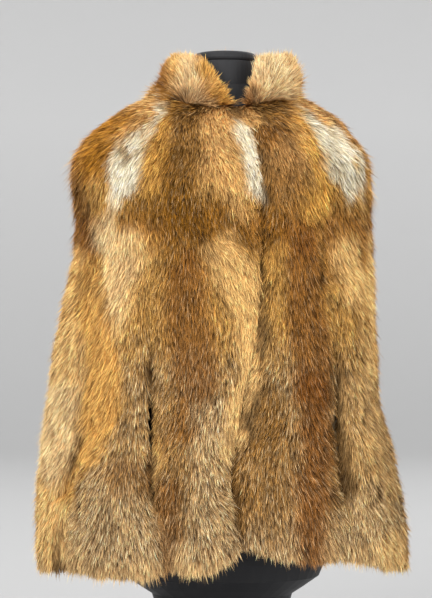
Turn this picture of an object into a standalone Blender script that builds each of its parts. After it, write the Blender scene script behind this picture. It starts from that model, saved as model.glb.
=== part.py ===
"""A hip-length cape of red fox pelts on a limbless dress form.

Ten pelts hang side by side from the neck seam to the hem. The first seam on either side
of the front opening is left open over a stretch, as a slit for the arm. A collar in two
halves stands on the neck seam. Each wall is as thick as the skin and its fur together.
The form is a torso with a neck cap, on a short pole and a round base.

Metres, +Z up, the front faces -Y, and the origin is the middle of the base's underside.
Right and left are the wearer's, and angles turn round the axis from the front (0
degrees) towards the wearer's left (90 degrees, +X).
"""

from math import cos, exp, radians, sin

import bmesh
import bpy
from mathutils import Vector

# Sizes shared by the whole object
HEM_LEVEL = 0.190  # height above the floor from which the heights below are counted
FUR_DEPTH = 0.022  # skin and fur of a body pelt together
SEAM_GAP = 0.0003  # between sewn pieces, and between stacked pieces of the form
EDGE_ROUNDING = 0.009  # how far the fur rounds back at the hem and the front edges

# The fur's outer surface, a row for each level from the neck seam to the hem. The reaches
# are from the axis, and dip is how much lower a level lies in front than at the sides,
# and how much higher at the back.
SECTION_COLUMNS = ("height", "right", "left", "front", "back", "dip")
SECTIONS = (
    (0.796, 0.106, 0.114, 0.092, 0.100, 0.030),
    (0.783, 0.148, 0.152, 0.104, 0.113, 0.024),
    (0.758, 0.190, 0.194, 0.117, 0.127, 0.017),
    (0.728, 0.220, 0.217, 0.131, 0.142, 0.010),
    (0.694, 0.240, 0.236, 0.145, 0.155, 0.004),
    (0.652, 0.247, 0.244, 0.158, 0.167, 0.000),
    (0.600, 0.242, 0.245, 0.170, 0.178, 0.000),
    (0.540, 0.244, 0.248, 0.180, 0.186, 0.000),
    (0.470, 0.258, 0.252, 0.187, 0.193, 0.000),
    (0.380, 0.277, 0.256, 0.194, 0.201, 0.000),
    (0.290, 0.290, 0.262, 0.201, 0.210, 0.000),
    (0.210, 0.301, 0.280, 0.208, 0.219, 0.000),
    (0.130, 0.308, 0.294, 0.214, 0.227, 0.000),
    (0.060, 0.309, 0.302, 0.219, 0.233, 0.000),
    (0.000, 0.308, 0.309, 0.222, 0.237, 0.000),
)
FULLNESS = 0.030  # how far a level stands out past an ellipse on its diagonals
LAST_LEVEL = len(SECTIONS) - 1
SHOULDER_LEVEL = 4  # the levels above it are close together
SHOULDER_ROWS = 5
HANGING_ROWS = 16

# The seams, and the angle of each at six levels that are spaced evenly
SEAM_COLUMNS = ("name", "neck", "shoulder", "chest", "waist", "hip", "hem")
SEAMS = (
    ("front_edge", 14.0, 13.0, 14.0, 12.5, 3.0, 6.5),
    ("slit_left", 56.0, 50.0, 42.5, 44.0, 41.5, 41.0),
    ("side_left", 88.0, 84.0, 80.0, 78.0, 75.0, 74.0),
    ("hip_left", 118.0, 116.0, 114.0, 112.0, 110.0, 110.0),
    ("back_side_left", 152.0, 152.0, 151.0, 150.0, 149.0, 149.0),
    ("center_back", 189.0, 189.0, 189.0, 189.0, 188.0, 188.0),
    ("back_side_right", 227.0, 227.0, 227.0, 228.0, 229.0, 229.0),
    ("hip_right", 262.0, 264.0, 266.0, 268.0, 268.0, 268.0),
    ("side_right", 284.0, 293.0, 301.0, 310.0, 307.0, 302.0),
    ("slit_right", 305.0, 323.0, 326.0, 335.5, 338.5, 343.0),
)
# A pelt fills the space from each seam to the next.
PELTS = (
    "front_left",
    "side_front_left",
    "side_left",
    "side_back_left",
    "back_left",
    "back_right",
    "side_back_right",
    "side_right",
    "side_front_right",
    "front_right",
)
BACK_PELT = PELTS.index("back_right")  # the first pelt past the seam at the centre back
PELT_COLUMNS = 5
FRONT_EDGE_SHARE = 0.06  # of a front pelt's width, over which its front edge rounds back

# The arm slits, between two levels of a seam, with the width at the middle
SLIT_COLUMNS = ("seam", "top", "bottom", "width")
SLITS = (
    ("slit_right", 9.0, 11.5, 0.013),
    ("slit_left", 9.0, 11.5, 0.015),
)
SLIT_TURN = 0.5  # levels over which the seam's faces turn to run straight back

# The largest folds. Each runs down from its level to the hem and deepens on the way.
# depth is outward on a ridge and inward, below zero, in a trough. Angles in degrees.
FOLD_COLUMNS = ("name", "top", "hem", "level", "depth", "width")
FOLDS = (
    ("front_left_ridge", 27.0, 24.0, 5.0, 0.007, 9.0),
    ("slit_left_trough", 44.0, 40.0, 6.0, -0.010, 6.0),
    ("slit_left_ridge", 56.0, 54.0, 5.0, 0.009, 7.0),
    ("left_trough", 70.0, 68.0, 8.0, -0.011, 7.0),
    ("left_ridge", 86.0, 84.0, 9.0, 0.006, 8.0),
    ("left_back_trough", 105.0, 102.0, 7.0, -0.013, 8.0),
    ("left_back_ridge", 122.0, 124.0, 5.0, 0.009, 9.0),
    ("back_left_trough", 141.0, 144.0, 6.0, -0.015, 8.0),
    ("back_left_ridge", 164.0, 162.0, 5.0, 0.008, 10.0),
    ("center_back_trough", 186.0, 181.0, 8.0, -0.012, 8.0),
    ("back_right_ridge", 204.0, 202.0, 5.0, 0.009, 10.0),
    ("back_right_trough", 222.0, 226.0, 6.0, -0.014, 8.0),
    ("right_back_ridge", 243.0, 246.0, 5.0, 0.009, 9.0),
    ("right_back_trough", 263.0, 260.0, 8.0, -0.010, 8.0),
    ("right_trough", 312.0, 302.0, 7.0, -0.017, 7.0),
    ("right_ridge", 326.0, 323.0, 7.0, 0.010, 8.0),
    ("slit_right_trough", 338.0, 343.0, 7.5, -0.011, 6.0),
    ("front_right_ridge", 352.0, 355.0, 6.0, 0.008, 8.0),
)

# How far the hem lies above HEM_LEVEL, every 15 degrees from the front
HEM_LIFT = (
    0.028, 0.045, 0.040, 0.036, 0.018, 0.009, 0.006, 0.009, 0.007, 0.004, 0.003, 0.005,
    0.001, 0.003, 0.004, 0.006, 0.005, 0.002, 0.004, 0.008, 0.012, 0.017, 0.013, 0.017,
)
HEM_STEP = 360 / len(HEM_LIFT)
# Where two lobes of the hem part, as angle, extra lift and half width in degrees
HEM_NOTCHES = ((6.5, 0.026, 7.0), (343.0, 0.014, 4.0))
HEM_FROM_LEVEL = 11.0  # the lift fades in from this level down

# The collar's outer surface. rise is above the neck seam, depth is the wall's, and the
# last two columns are the angles of the two front edges, which open into a V.
COLLAR_COLUMNS = (
    "rise", "right", "left", "front", "back", "dip", "depth", "edge_right", "edge_left"
)
COLLAR = (
    (0.000, 0.106, 0.114, 0.092, 0.100, 0.030, 0.022, 14.0, 14.0),
    (0.014, 0.101, 0.127, 0.098, 0.105, 0.024, 0.028, 4.0, 16.0),
    (0.030, 0.098, 0.129, 0.099, 0.107, 0.018, 0.030, -1.0, 18.0),
    (0.045, 0.093, 0.123, 0.095, 0.107, 0.012, 0.029, -11.0, 20.5),
    (0.057, 0.082, 0.113, 0.088, 0.102, 0.007, 0.023, -24.0, 25.0),
    (0.065, 0.068, 0.101, 0.080, 0.093, 0.005, 0.012, -36.0, 30.0),
)
COLLAR_ROWS = 7

# The form. Below the shoulders its levels are flat. Between the seat levels it has the
# shape of the cape's inside, which rests on it there, and above them it is a neck.
FORM_COLUMNS = ("height", "side", "front", "back", "dip")
FORM_TORSO = (
    (-0.045, 0.111, 0.072, 0.076, 0.000),
    (-0.028, 0.116, 0.075, 0.079, 0.000),
    (-0.015, 0.136, 0.090, 0.095, 0.000),
    (0.002, 0.160, 0.107, 0.112, 0.000),
    (0.030, 0.172, 0.115, 0.121, 0.000),
    (0.110, 0.173, 0.117, 0.125, 0.000),
    (0.190, 0.166, 0.116, 0.124, 0.000),
    (0.270, 0.148, 0.108, 0.112, 0.000),
    (0.340, 0.127, 0.100, 0.099, 0.000),
    (0.390, 0.120, 0.098, 0.095, 0.000),
    (0.450, 0.127, 0.107, 0.097, 0.000),
    (0.520, 0.143, 0.122, 0.103, 0.000),
    (0.590, 0.157, 0.126, 0.110, 0.000),
    (0.645, 0.174, 0.115, 0.115, 0.000),
    (0.688, 0.186, 0.104, 0.116, 0.000),
)
SEAT_LEVELS = (2.4, 1.6, 0.8)
SEAT_GAP = 0.0005
FORM_NECK = (
    (0.780, 0.082, 0.062, 0.078, 0.022),
    (0.795, 0.062, 0.053, 0.063, 0.014),
    (0.812, 0.051, 0.048, 0.054, 0.007),
    (0.845, 0.048, 0.047, 0.051, 0.000),
)
NECK_CENTRE = Vector((0.005, 0.003, 0.0))
CAP_HEIGHT = 0.015
CAP_OVERHANG = 0.002
CAP_ROUNDING = 0.005

BASE_RADIUS = 0.170
BASE_HEIGHT = 0.012
BASE_BEVEL = 0.003
POLE_RADIUS = 0.018
FLANGE_RADIUS = 0.050
FLANGE_HEIGHT = 0.010
ROUND_SIDES = 40
SHARP_ANGLE = radians(40)

# Each look is a colour, a roughness and a metallic value.
RED_FOX = ((0.42, 0.24, 0.10, 1.0), 0.80, 0.0)
PALE_FOX = ((0.60, 0.43, 0.23, 1.0), 0.80, 0.0)
BLACK_JERSEY = ((0.020, 0.020, 0.022, 1.0), 0.85, 0.0)
BLACK_ENAMEL = ((0.030, 0.030, 0.032, 1.0), 0.35, 0.0)


def clear_scene():
    for old in list(bpy.data.objects):
        bpy.data.objects.remove(old)


def collection_named(name):
    made = bpy.data.collections.new(name)
    bpy.context.scene.collection.children.link(made)
    return made


def material_named(name, look):
    colour, roughness, metallic = look
    made = bpy.data.materials.new(name)
    made.use_nodes = True
    shader = made.node_tree.nodes["Principled BSDF"]
    shader.inputs["Base Color"].default_value = colour
    shader.inputs["Roughness"].default_value = roughness
    shader.inputs["Metallic"].default_value = metallic
    return made


def by_column(columns, rows):
    """A table's columns, each as a tuple of its values from the first row to the last."""
    return dict(zip(columns, zip(*rows)))


SECTION = by_column(SECTION_COLUMNS, SECTIONS)
COLLAR_SECTION = by_column(COLLAR_COLUMNS, COLLAR)


def on_curve(values, place):
    """The value at place on a smooth curve through values, which lie at 0, 1, 2 and so on."""
    last = len(values) - 1
    index = max(0, min(int(place), last - 1))
    part = place - index
    start, end = values[index], values[index + 1]
    slope_in = (end - values[max(index - 1, 0)]) / 2
    slope_out = (values[min(index + 2, last)] - start) / 2
    square, cube = part**2, part**3
    return (
        start * (2 * cube - 3 * square + 1)
        + slope_in * (cube - 2 * square + part)
        + end * (3 * square - 2 * cube)
        + slope_out * (cube - square)
    )


def smooth_step(low, high, value):
    part = max(0.0, min(1.0, (value - low) / (high - low)))
    return part * part * (3 - 2 * part)


def turn_from(angle, other):
    """How far other lies past angle, in degrees from -180 to 180."""
    return (other - angle + 180.0) % 360.0 - 180.0


def fold_depth(angle, level):
    """How far the folds push the fur out at this angle and level."""
    total = 0.0
    for _, top, hem, first, depth, width in FOLDS:
        share = (level - first) / (LAST_LEVEL - first)
        if share > 0:
            away = turn_from(top + (hem - top) * share, angle)
            total += depth * smooth_step(0.0, 0.85, share) * exp(-((away / width) ** 2))
    return total


def hem_lift(angle):
    place = (angle % 360.0) / HEM_STEP
    lift = on_curve(HEM_LIFT[-1:] + HEM_LIFT + HEM_LIFT[:2], place + 1)
    for middle, extra, width in HEM_NOTCHES:
        lift += extra * exp(-((turn_from(middle, angle) / width) ** 2))
    return lift


def on_ring(angle, right, left, front, back):
    """A point of a flat ring that has its own reach in each of the four directions."""
    across, ahead = sin(radians(angle)), cos(radians(angle))
    full = 1 + FULLNESS * (2 * across * ahead) ** 2
    side = left if across > 0 else right
    depth = front if ahead > 0 else back
    return Vector((side * across * full, -depth * ahead * full, 0.0))


def section_point(table, angle, place):
    """A point on the ring at this place down a table, with its z still at zero."""
    reaches = [on_curve(table[name], place) for name in ("right", "left", "front", "back")]
    return on_ring(angle, *reaches)


def fur_surface(angle, level):
    """The outer surface of the cape's body."""
    point = section_point(SECTION, angle, level)
    point += fold_depth(angle, level) * Vector((sin(radians(angle)), -cos(radians(angle)), 0))
    point.z = HEM_LEVEL + on_curve(SECTION["height"], level)
    point.z -= on_curve(SECTION["dip"], level) * cos(radians(angle))
    point.z += hem_lift(angle) * smooth_step(HEM_FROM_LEVEL, LAST_LEVEL, level)
    return point


def collar_surface(angle, place):
    """The outer surface of the collar, whose places count up from the neck seam."""
    point = section_point(COLLAR_SECTION, angle, place)
    point.z = HEM_LEVEL + SECTION["height"][0] + SEAM_GAP
    point.z += on_curve(COLLAR_SECTION["rise"], place)
    point.z -= on_curve(COLLAR_SECTION["dip"], place) * cos(radians(angle))
    return point


def level_normal(surface, angle, place):
    """The outward horizontal direction square to a surface's level."""
    along = surface(angle + 0.5, place) - surface(angle - 0.5, place)
    return Vector((along.y, -along.x, 0.0)).normalized()


def fur_normal(angle, level):
    """The outward normal of the cape's outer surface."""
    along = fur_surface(angle + 0.5, level) - fur_surface(angle - 0.5, level)
    down = fur_surface(angle, level + 0.05) - fur_surface(angle, level - 0.05)
    return down.cross(along).normalized()


def seam_angle(index, level):
    """The angle of a seam at this level. Counting past the last seam goes on round."""
    turns, index = divmod(index, len(SEAMS))
    angles = SEAMS[index][1:]
    return on_curve(angles, level / LAST_LEVEL * (len(angles) - 1)) + 360.0 * turns


def slit_width(index, level):
    """How wide a seam stands open at this level, which is zero off the arm slits."""
    name = SEAMS[index % len(SEAMS)][0]
    for seam, top, bottom, width in SLITS:
        if name == seam and top < level < bottom:
            share = (level - top) / (bottom - top)
            return width * (1 - (2 * share - 1) ** 2)
    return 0.0


def slit_turn(index, level):
    """From 0 to 1, how far the faces of a seam have turned to run straight back."""
    name = SEAMS[index % len(SEAMS)][0]
    for seam, top, bottom, _ in SLITS:
        if name == seam:
            opening = smooth_step(top - SLIT_TURN, top, level)
            return opening * (1 - smooth_step(bottom, bottom + SLIT_TURN, level))
    return 0.0


def edge_turn(index, level):
    """The turn, in degrees, from a seam to the edge of the pelt beside it."""
    angle = seam_angle(index, level)
    per_degree = (fur_surface(angle + 0.5, level) - fur_surface(angle - 0.5, level)).length
    return (SEAM_GAP + slit_width(index, level)) / 2 / per_degree


def wall_levels():
    """The levels of a pelt's rows."""
    shoulder = [SHOULDER_LEVEL * row / SHOULDER_ROWS for row in range(SHOULDER_ROWS)]
    below = LAST_LEVEL - SHOULDER_LEVEL
    return shoulder + [
        SHOULDER_LEVEL + below * row / HANGING_ROWS for row in range(HANGING_ROWS + 1)
    ]


def column_shares(index):
    """Where a pelt's columns lie, from 0 at its first seam to 1 at the next."""
    shares = [col / PELT_COLUMNS for col in range(PELT_COLUMNS + 1)]
    if PELTS[index] == "front_left":
        shares.insert(1, FRONT_EDGE_SHARE)
    if PELTS[index] == "front_right":
        shares.insert(-1, 1 - FRONT_EDGE_SHARE)
    return shares


def column_angle(index, share, level):
    """The angle of a pelt's column, from just past its first seam to just before the next."""
    first = seam_angle(index, level) + edge_turn(index, level)
    last = seam_angle(index + 1, level) - edge_turn(index + 1, level)
    return first + (last - first) * share


def inward(index, share, level, angle):
    """The step from the fur's outer surface to the inner side of the wall."""
    if level == 0:
        return -FUR_DEPTH * level_normal(fur_surface, angle, level)
    normal = fur_normal(angle, level)
    turn = {0: slit_turn(index, level), 1: slit_turn(index + 1, level)}.get(share, 0.0)
    through = normal.lerp(Vector((0, -1, 0)), turn)
    return -FUR_DEPTH / through.dot(normal) * through


def rounding(index, share, level):
    """How far the outer surface rounds back here, at the hem and at the front edges."""
    if (PELTS[index], share) in (("front_left", 0), ("front_right", 1)):
        return EDGE_ROUNDING
    return EDGE_ROUNDING if level == LAST_LEVEL else 0.0


def add_split(mesh, first, second, third, fourth):
    """Two triangles on four corners, split from the first corner to the third.

    Surfaces that lie close together are split the same way, so that they stay parallel.
    """
    mesh.faces.new((first, second, third))
    mesh.faces.new((first, third, fourth))


def closed_wall(name, outer, inner, collection, material):
    """A solid between two grids of points, which have the same rows and columns.

    Both grids follow the whole cape's surface and its normals, so that neighbouring
    walls keep the same gap right through their depth, which thickening each by itself
    would not give.
    """
    rows, columns = len(outer), len(outer[0])
    mesh = bmesh.new()
    grids = [[[mesh.verts.new(p) for p in row] for row in grid] for grid in (outer, inner)]
    for grid in grids:
        for above, below in zip(grid, grid[1:]):
            for col in range(columns - 1):
                add_split(mesh, above[col], below[col], below[col + 1], above[col + 1])
    rim = [(0, col) for col in range(columns - 1)]
    rim += [(row, columns - 1) for row in range(rows - 1)]
    rim += [(rows - 1, col) for col in range(columns - 1, 0, -1)]
    rim += [(row, 0) for row in range(rows - 1, 0, -1)]
    skin, lining = grids
    for pair in zip(rim, rim[1:] + rim[:1]):
        (row, col), (next_row, next_col) = sorted(pair)
        corners = (skin[row][col], skin[next_row][next_col])
        corners += (lining[next_row][next_col], lining[row][col])
        add_split(mesh, *corners)
    return finished(name, mesh, collection, material)


def lofted(name, rings, collection, material):
    """A solid through rings of points from the bottom up, closed by a flat face each end."""
    mesh = bmesh.new()
    loops = [[mesh.verts.new(point) for point in ring] for ring in rings]
    for low, high in zip(loops, loops[1:]):
        for here, after in zip(range(len(low)), list(range(1, len(low))) + [0]):
            add_split(mesh, high[here], low[here], low[after], high[after])
    mesh.faces.new(loops[0])
    mesh.faces.new(loops[-1])
    return finished(name, mesh, collection, material)


def finished(name, mesh, collection, material):
    bmesh.ops.recalc_face_normals(mesh, faces=mesh.faces)
    data = bpy.data.meshes.new(name)
    mesh.to_mesh(data)
    mesh.free()
    made = bpy.data.objects.new(name, data)
    return dressed(made, collection, material)


def dressed(made, collection, material):
    made.data.materials.append(material)
    made.data.shade_smooth()
    made.data.set_sharp_from_angle(angle=SHARP_ANGLE)
    for old in made.users_collection:
        old.objects.unlink(made)
    collection.objects.link(made)
    return made


def make_pelt(index, collection, material):
    outer, inner = [], []
    for level in wall_levels():
        outer.append([])
        inner.append([])
        for share in column_shares(index):
            angle = column_angle(index, share, level)
            point = fur_surface(angle, level)
            step = inward(index, share, level, angle)
            back = rounding(index, share, level) / FUR_DEPTH
            outer[-1].append(point + back * step)
            inner[-1].append(point + step)
    return closed_wall(PELTS[index], outer, inner, collection, material)


def columns_over(pelts):
    """The columns over some pelts, as pelt and share, with one column for each seam."""
    columns = []
    for index in pelts:
        columns += [(index, share) for share in column_shares(index)[:-1]]
    return columns


def make_collar_half(name, pelts, edge, collection, material):
    """Half of the collar, over the given pelts. edge is its front edge's column."""
    columns = columns_over(pelts) + [(pelts[-1], 1.0)]
    base = [column_angle(index, share, 0) for index, share in columns]
    ends_in_front = pelts[-1] == len(PELTS) - 1
    back, front = (base[0], base[-1]) if ends_in_front else (base[-1], base[0])
    outer, inner = [], []
    for row in range(COLLAR_ROWS):
        place = (len(COLLAR) - 1) * row / (COLLAR_ROWS - 1)
        opened = on_curve(COLLAR_SECTION[edge], place) - COLLAR_SECTION[edge][0]
        depth = on_curve(COLLAR_SECTION["depth"], place)
        outer.append([])
        inner.append([])
        for start in base:
            angle = start + opened * (start - back) / (front - back)
            point = collar_surface(angle, place)
            step = -depth * level_normal(collar_surface, angle, place)
            back_by = 0.4 if start == front else 0.0
            outer[-1].append(point + back_by * step)
            inner[-1].append(point + step)
    return closed_wall(name, outer, inner, collection, material)


def form_ring(row, centre):
    height, side, front, back, dip = row
    ring = []
    for index, share in columns_over(range(len(PELTS))):
        angle = column_angle(index, share, 0)
        point = on_ring(angle, side, side, front, back) + centre
        point.z = HEM_LEVEL + height - dip * cos(radians(angle))
        ring.append(point)
    return ring


def seat_ring(level):
    """A ring of the form just inside the cape's wall, on the wall's own columns."""
    ring = []
    for index, share in columns_over(range(len(PELTS))):
        angle = column_angle(index, share, level)
        step = inward(index, share, level, angle)
        ring.append(fur_surface(angle, level) + step * (1 + SEAT_GAP / FUR_DEPTH))
    return ring


def make_form(collection, material):
    rings = [form_ring(row, Vector()) for row in FORM_TORSO]
    rings += [seat_ring(level) for level in SEAT_LEVELS]
    rings += [form_ring(row, NECK_CENTRE) for row in FORM_NECK]
    return lofted("form_torso", rings, collection, material)


def make_cap(collection, material):
    """The cap that closes the form's neck."""
    height, side, front, back, _ = FORM_NECK[-1]
    bottom = HEM_LEVEL + height + SEAM_GAP
    cap = add_cylinder("form_neck_cap", 1.0, bottom, CAP_HEIGHT, collection, material)
    cap.location.x += NECK_CENTRE.x
    cap.location.y += NECK_CENTRE.y + (back - front) / 2
    widths = (side + CAP_OVERHANG, (front + back) / 2 + CAP_OVERHANG)
    for vertex in cap.data.vertices:
        vertex.co.x *= widths[0]
        vertex.co.y *= widths[1]
    add_bevel(cap, CAP_ROUNDING, 3)
    return cap


def add_cylinder(name, radius, bottom, height, collection, material):
    bpy.ops.mesh.primitive_cylinder_add(
        vertices=ROUND_SIDES, radius=radius, depth=height, location=(0, 0, bottom + height / 2)
    )
    made = bpy.context.object
    made.name = name
    return dressed(made, collection, material)


def add_bevel(made, width, segments):
    bevel = made.modifiers.new("Rounding", "BEVEL")
    bevel.width = width
    bevel.segments = segments
    bevel.limit_method = "ANGLE"
    bevel.angle_limit = radians(60)


def make_stand(collection, material):
    """A round base, a pole and the flange that the torso stands on."""
    base = add_cylinder("stand_base", BASE_RADIUS, 0, BASE_HEIGHT, collection, material)
    add_bevel(base, BASE_BEVEL, 1)
    flange_bottom = HEM_LEVEL + FORM_TORSO[0][0] - SEAM_GAP - FLANGE_HEIGHT
    add_cylinder(
        "stand_flange", FLANGE_RADIUS, flange_bottom, FLANGE_HEIGHT, collection, material
    )
    pole_bottom = BASE_HEIGHT + SEAM_GAP
    pole_height = flange_bottom - SEAM_GAP - pole_bottom
    add_cylinder("stand_pole", POLE_RADIUS, pole_bottom, pole_height, collection, material)


def build():
    clear_scene()
    cape = collection_named("fur cape on a dress form")
    red_fox = material_named("red fox fur", RED_FOX)
    pale_fox = material_named("pale fox fur", PALE_FOX)
    jersey = material_named("black jersey", BLACK_JERSEY)
    enamel = material_named("black enamel", BLACK_ENAMEL)
    for index in range(len(PELTS)):
        make_pelt(index, cape, red_fox)
    right_pelts = range(BACK_PELT, len(PELTS))
    make_collar_half("collar_right", right_pelts, "edge_right", cape, pale_fox)
    make_collar_half("collar_left", range(BACK_PELT), "edge_left", cape, pale_fox)
    make_form(cape, jersey)
    make_cap(cape, enamel)
    make_stand(cape, enamel)


build()
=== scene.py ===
# %% [markdown]
# # A red fox cape on a dress form
#
# The real cape is made of ten fox pelts that hang side by side from a neck seam, with a
# fluffy collar in two halves. It hangs on a black dress form. The solids of the cape, the
# form and its stand come from the imported frame. Here each fur solid is replaced by two
# pieces in the same place: a thin curved wall of skin and short underfur, and a coat of
# long hairs that grow out of it. The form and its stand keep their solids and get better
# materials.
#
# The frame comes first, because every piece is placed by it. Its box is kept, to be printed beside
# the finished cape's box at the end.

from math import cos, radians, sin

import bmesh
import bpy
import numpy as np
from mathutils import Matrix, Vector


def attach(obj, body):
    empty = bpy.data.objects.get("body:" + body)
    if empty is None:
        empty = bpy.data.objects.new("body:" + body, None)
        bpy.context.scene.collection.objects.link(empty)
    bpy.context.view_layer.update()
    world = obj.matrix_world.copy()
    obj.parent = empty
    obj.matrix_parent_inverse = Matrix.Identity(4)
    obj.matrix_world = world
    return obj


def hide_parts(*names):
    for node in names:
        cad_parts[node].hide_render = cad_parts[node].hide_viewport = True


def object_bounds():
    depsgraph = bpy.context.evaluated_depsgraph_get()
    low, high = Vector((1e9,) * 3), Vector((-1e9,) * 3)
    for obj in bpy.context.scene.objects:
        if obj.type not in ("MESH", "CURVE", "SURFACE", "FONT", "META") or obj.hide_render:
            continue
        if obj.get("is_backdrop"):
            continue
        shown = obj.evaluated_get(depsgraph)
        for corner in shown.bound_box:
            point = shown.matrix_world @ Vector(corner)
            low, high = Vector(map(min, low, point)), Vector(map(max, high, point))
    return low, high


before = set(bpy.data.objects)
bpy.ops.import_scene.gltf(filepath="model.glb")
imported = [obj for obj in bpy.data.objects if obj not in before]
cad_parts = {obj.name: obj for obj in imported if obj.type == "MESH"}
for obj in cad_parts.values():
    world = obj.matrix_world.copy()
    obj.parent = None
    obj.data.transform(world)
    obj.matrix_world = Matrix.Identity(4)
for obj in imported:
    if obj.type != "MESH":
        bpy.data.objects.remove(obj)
CAD_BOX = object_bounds()
print("solids in the frame:", len(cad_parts))

# %% [markdown]
# ## The camera
#
# The camera stands 3.2 m in front of the cape, level with its middle, and looks straight
# at it. It could stand nearer with a wider lens, but a long lens at that distance keeps
# the shoulders and the hem in proportion, as a photographer of clothes would.

# %% Camera
CAMERA_DISTANCE = 3.2
CAMERA_ACROSS = -0.010
CAMERA_HEIGHT = 0.6454
VIEW_HEIGHT = 0.9867  # metres that the picture shows from top to bottom
SENSOR = 36.0  # millimetres

camera_data = bpy.data.cameras.new("camera")
camera_data.sensor_fit = "VERTICAL"
camera_data.sensor_height = SENSOR
camera_data.lens = SENSOR * CAMERA_DISTANCE / VIEW_HEIGHT
camera = bpy.data.objects.new("camera", camera_data)
camera.location = (CAMERA_ACROSS, -CAMERA_DISTANCE, CAMERA_HEIGHT)
camera.rotation_euler = (radians(90), 0, 0)
bpy.context.scene.collection.objects.link(camera)
bpy.context.scene.camera = camera
bpy.context.scene.view_settings.view_transform = "Standard"
print("lens:", round(camera_data.lens, 1), "mm")

# %% [markdown]
# ## Helpers for colours and node trees
#
# A colour is easiest to choose as a screen shows it, but shaders work in linear light, so
# one helper converts it. The other helpers add a node with all its links in one call.
# Materials could be wired by hand in the editor, but this way they can be read as text.

# %% Helpers for colours and node trees
def from_screen(red, green, blue):
    """A colour as a screen shows it, each part up to 255, in the linear light of a shader."""
    shares = np.array((red, green, blue)) / 255.0
    return np.where(shares <= 0.04045, shares / 12.92, ((shares + 0.055) / 1.055) ** 2.4)


def rgba(colour):
    return (*(float(part) for part in colour), 1.0)


def socket_named(sockets, key):
    """The socket at this number, or the one of this name that the node's type has in use."""
    if isinstance(key, int):
        return sockets[key]
    return next(socket for socket in sockets if socket.name == key and socket.enabled)


def add_node(tree, kind, sockets=None, **settings):
    """A new node, with each socket set to a value or joined to the output given for it."""
    made = tree.nodes.new(kind)
    for name, value in settings.items():
        setattr(made, name, value)
    for key, value in (sockets or {}).items():
        socket = socket_named(made.inputs, key)
        if isinstance(value, bpy.types.NodeSocket):
            tree.links.new(value, socket)
        else:
            socket.default_value = value
    return made


def result(made):
    """The output of a node that is in use."""
    return next(socket for socket in made.outputs if socket.enabled)


def new_material(name, roughness, specular=0.5, sheen=0.0):
    """A material with the constant values set, and its shader, whose colour is still open."""
    made = bpy.data.materials.new(name)
    made.use_nodes = True
    shader = made.node_tree.nodes["Principled BSDF"]
    shader.inputs["Roughness"].default_value = roughness
    shader.inputs["Specular IOR Level"].default_value = specular
    shader.inputs["Sheen Weight"].default_value = sheen
    return made, shader

# %% [markdown]
# ## The studio
#
# A studio's backdrop is a roll of paper whose floor curves up into the wall. A plane bent
# at the back would show its edges from the side, so this one is round: a floor that curves
# up into a wall on every side. It is turned from one profile, as on a lathe.

# %% Studio
MIDDLE_RADIUS = 0.02  # of the small disc that closes the floor
FLOOR_RADIUS = 5.0
SWEEP_RADIUS = 2.6
SWEEP_STEPS = 12
WALL_HEIGHT = 6.0
STUDIO_SIDES = 96
FLOOR_GREY = from_screen(172, 172, 172)
WALL_GREY = from_screen(197, 197, 197)
GREY_CLIMB = 1.6  # metres over which the floor's grey turns into the wall's

profile = [(MIDDLE_RADIUS, 0.0), (FLOOR_RADIUS, 0.0)]
for step in range(1, SWEEP_STEPS + 1):
    turn = radians(90 * step / SWEEP_STEPS)
    profile.append(
        (FLOOR_RADIUS + SWEEP_RADIUS * sin(turn), SWEEP_RADIUS * (1 - cos(turn)))
    )
profile.append((FLOOR_RADIUS + SWEEP_RADIUS, WALL_HEIGHT))

studio_mesh = bmesh.new()
rings = []
for radius, height in profile:
    turns = [radians(360 * side / STUDIO_SIDES) for side in range(STUDIO_SIDES)]
    rings.append(
        [studio_mesh.verts.new((radius * cos(t), radius * sin(t), height)) for t in turns]
    )
for inner_ring, outer_ring in zip(rings, rings[1:]):
    for side in range(STUDIO_SIDES):
        after = (side + 1) % STUDIO_SIDES
        studio_mesh.faces.new(
            (inner_ring[side], outer_ring[side], outer_ring[after], inner_ring[after])
        )
studio_mesh.faces.new(rings[0])
studio_data = bpy.data.meshes.new("studio_floor")
studio_mesh.to_mesh(studio_data)
studio_mesh.free()
studio_data.shade_smooth()
studio = bpy.data.objects.new("studio_floor", studio_data)
bpy.context.scene.collection.objects.link(studio)
studio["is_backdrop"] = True

studio_paper, paper_shader = new_material("studio paper", roughness=0.9, specular=0.1)
tree = studio_paper.node_tree
coords = add_node(tree, "ShaderNodeTexCoord").outputs["Object"]
height = add_node(tree, "ShaderNodeSeparateXYZ", {"Vector": coords}).outputs["Z"]
climb = add_node(tree, "ShaderNodeMapRange", {"Value": height, "From Max": GREY_CLIMB})
paper = add_node(
    tree,
    "ShaderNodeMix",
    {"Factor": result(climb), "A": rgba(FLOOR_GREY), "B": rgba(WALL_GREY)},
    data_type="RGBA",
)
tree.links.new(result(paper), paper_shader.inputs["Base Color"])
studio_data.materials.append(studio_paper)
print("faces in the studio:", len(studio_data.polygons))

# %% [markdown]
# ## The lights
#
# The fur needs a main light from one side, because strands only show by their shadows, and
# a weaker one from the other side. Large square lamps make those shadows soft. Two more
# stand behind, so that the outline glows a little and the back is lit too. A pale sky
# fills in the rest.

# %% Lights
# Name, place, size in metres and power in watts
LIGHTS = (
    ("key", (-2.0, -3.2, 2.3), 2.4, 168.0),
    ("fill", (2.6, -2.8, 1.3), 2.4, 94.0),
    ("back_left", (2.4, 3.0, 2.6), 2.4, 40.0),
    ("back_right", (-2.6, 2.6, 2.6), 2.4, 28.0),
)
AIM = Vector((0.0, 0.0, 0.7))
SKY_GREY = from_screen(246, 246, 246)
SKY_STRENGTH = 1.6

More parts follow.
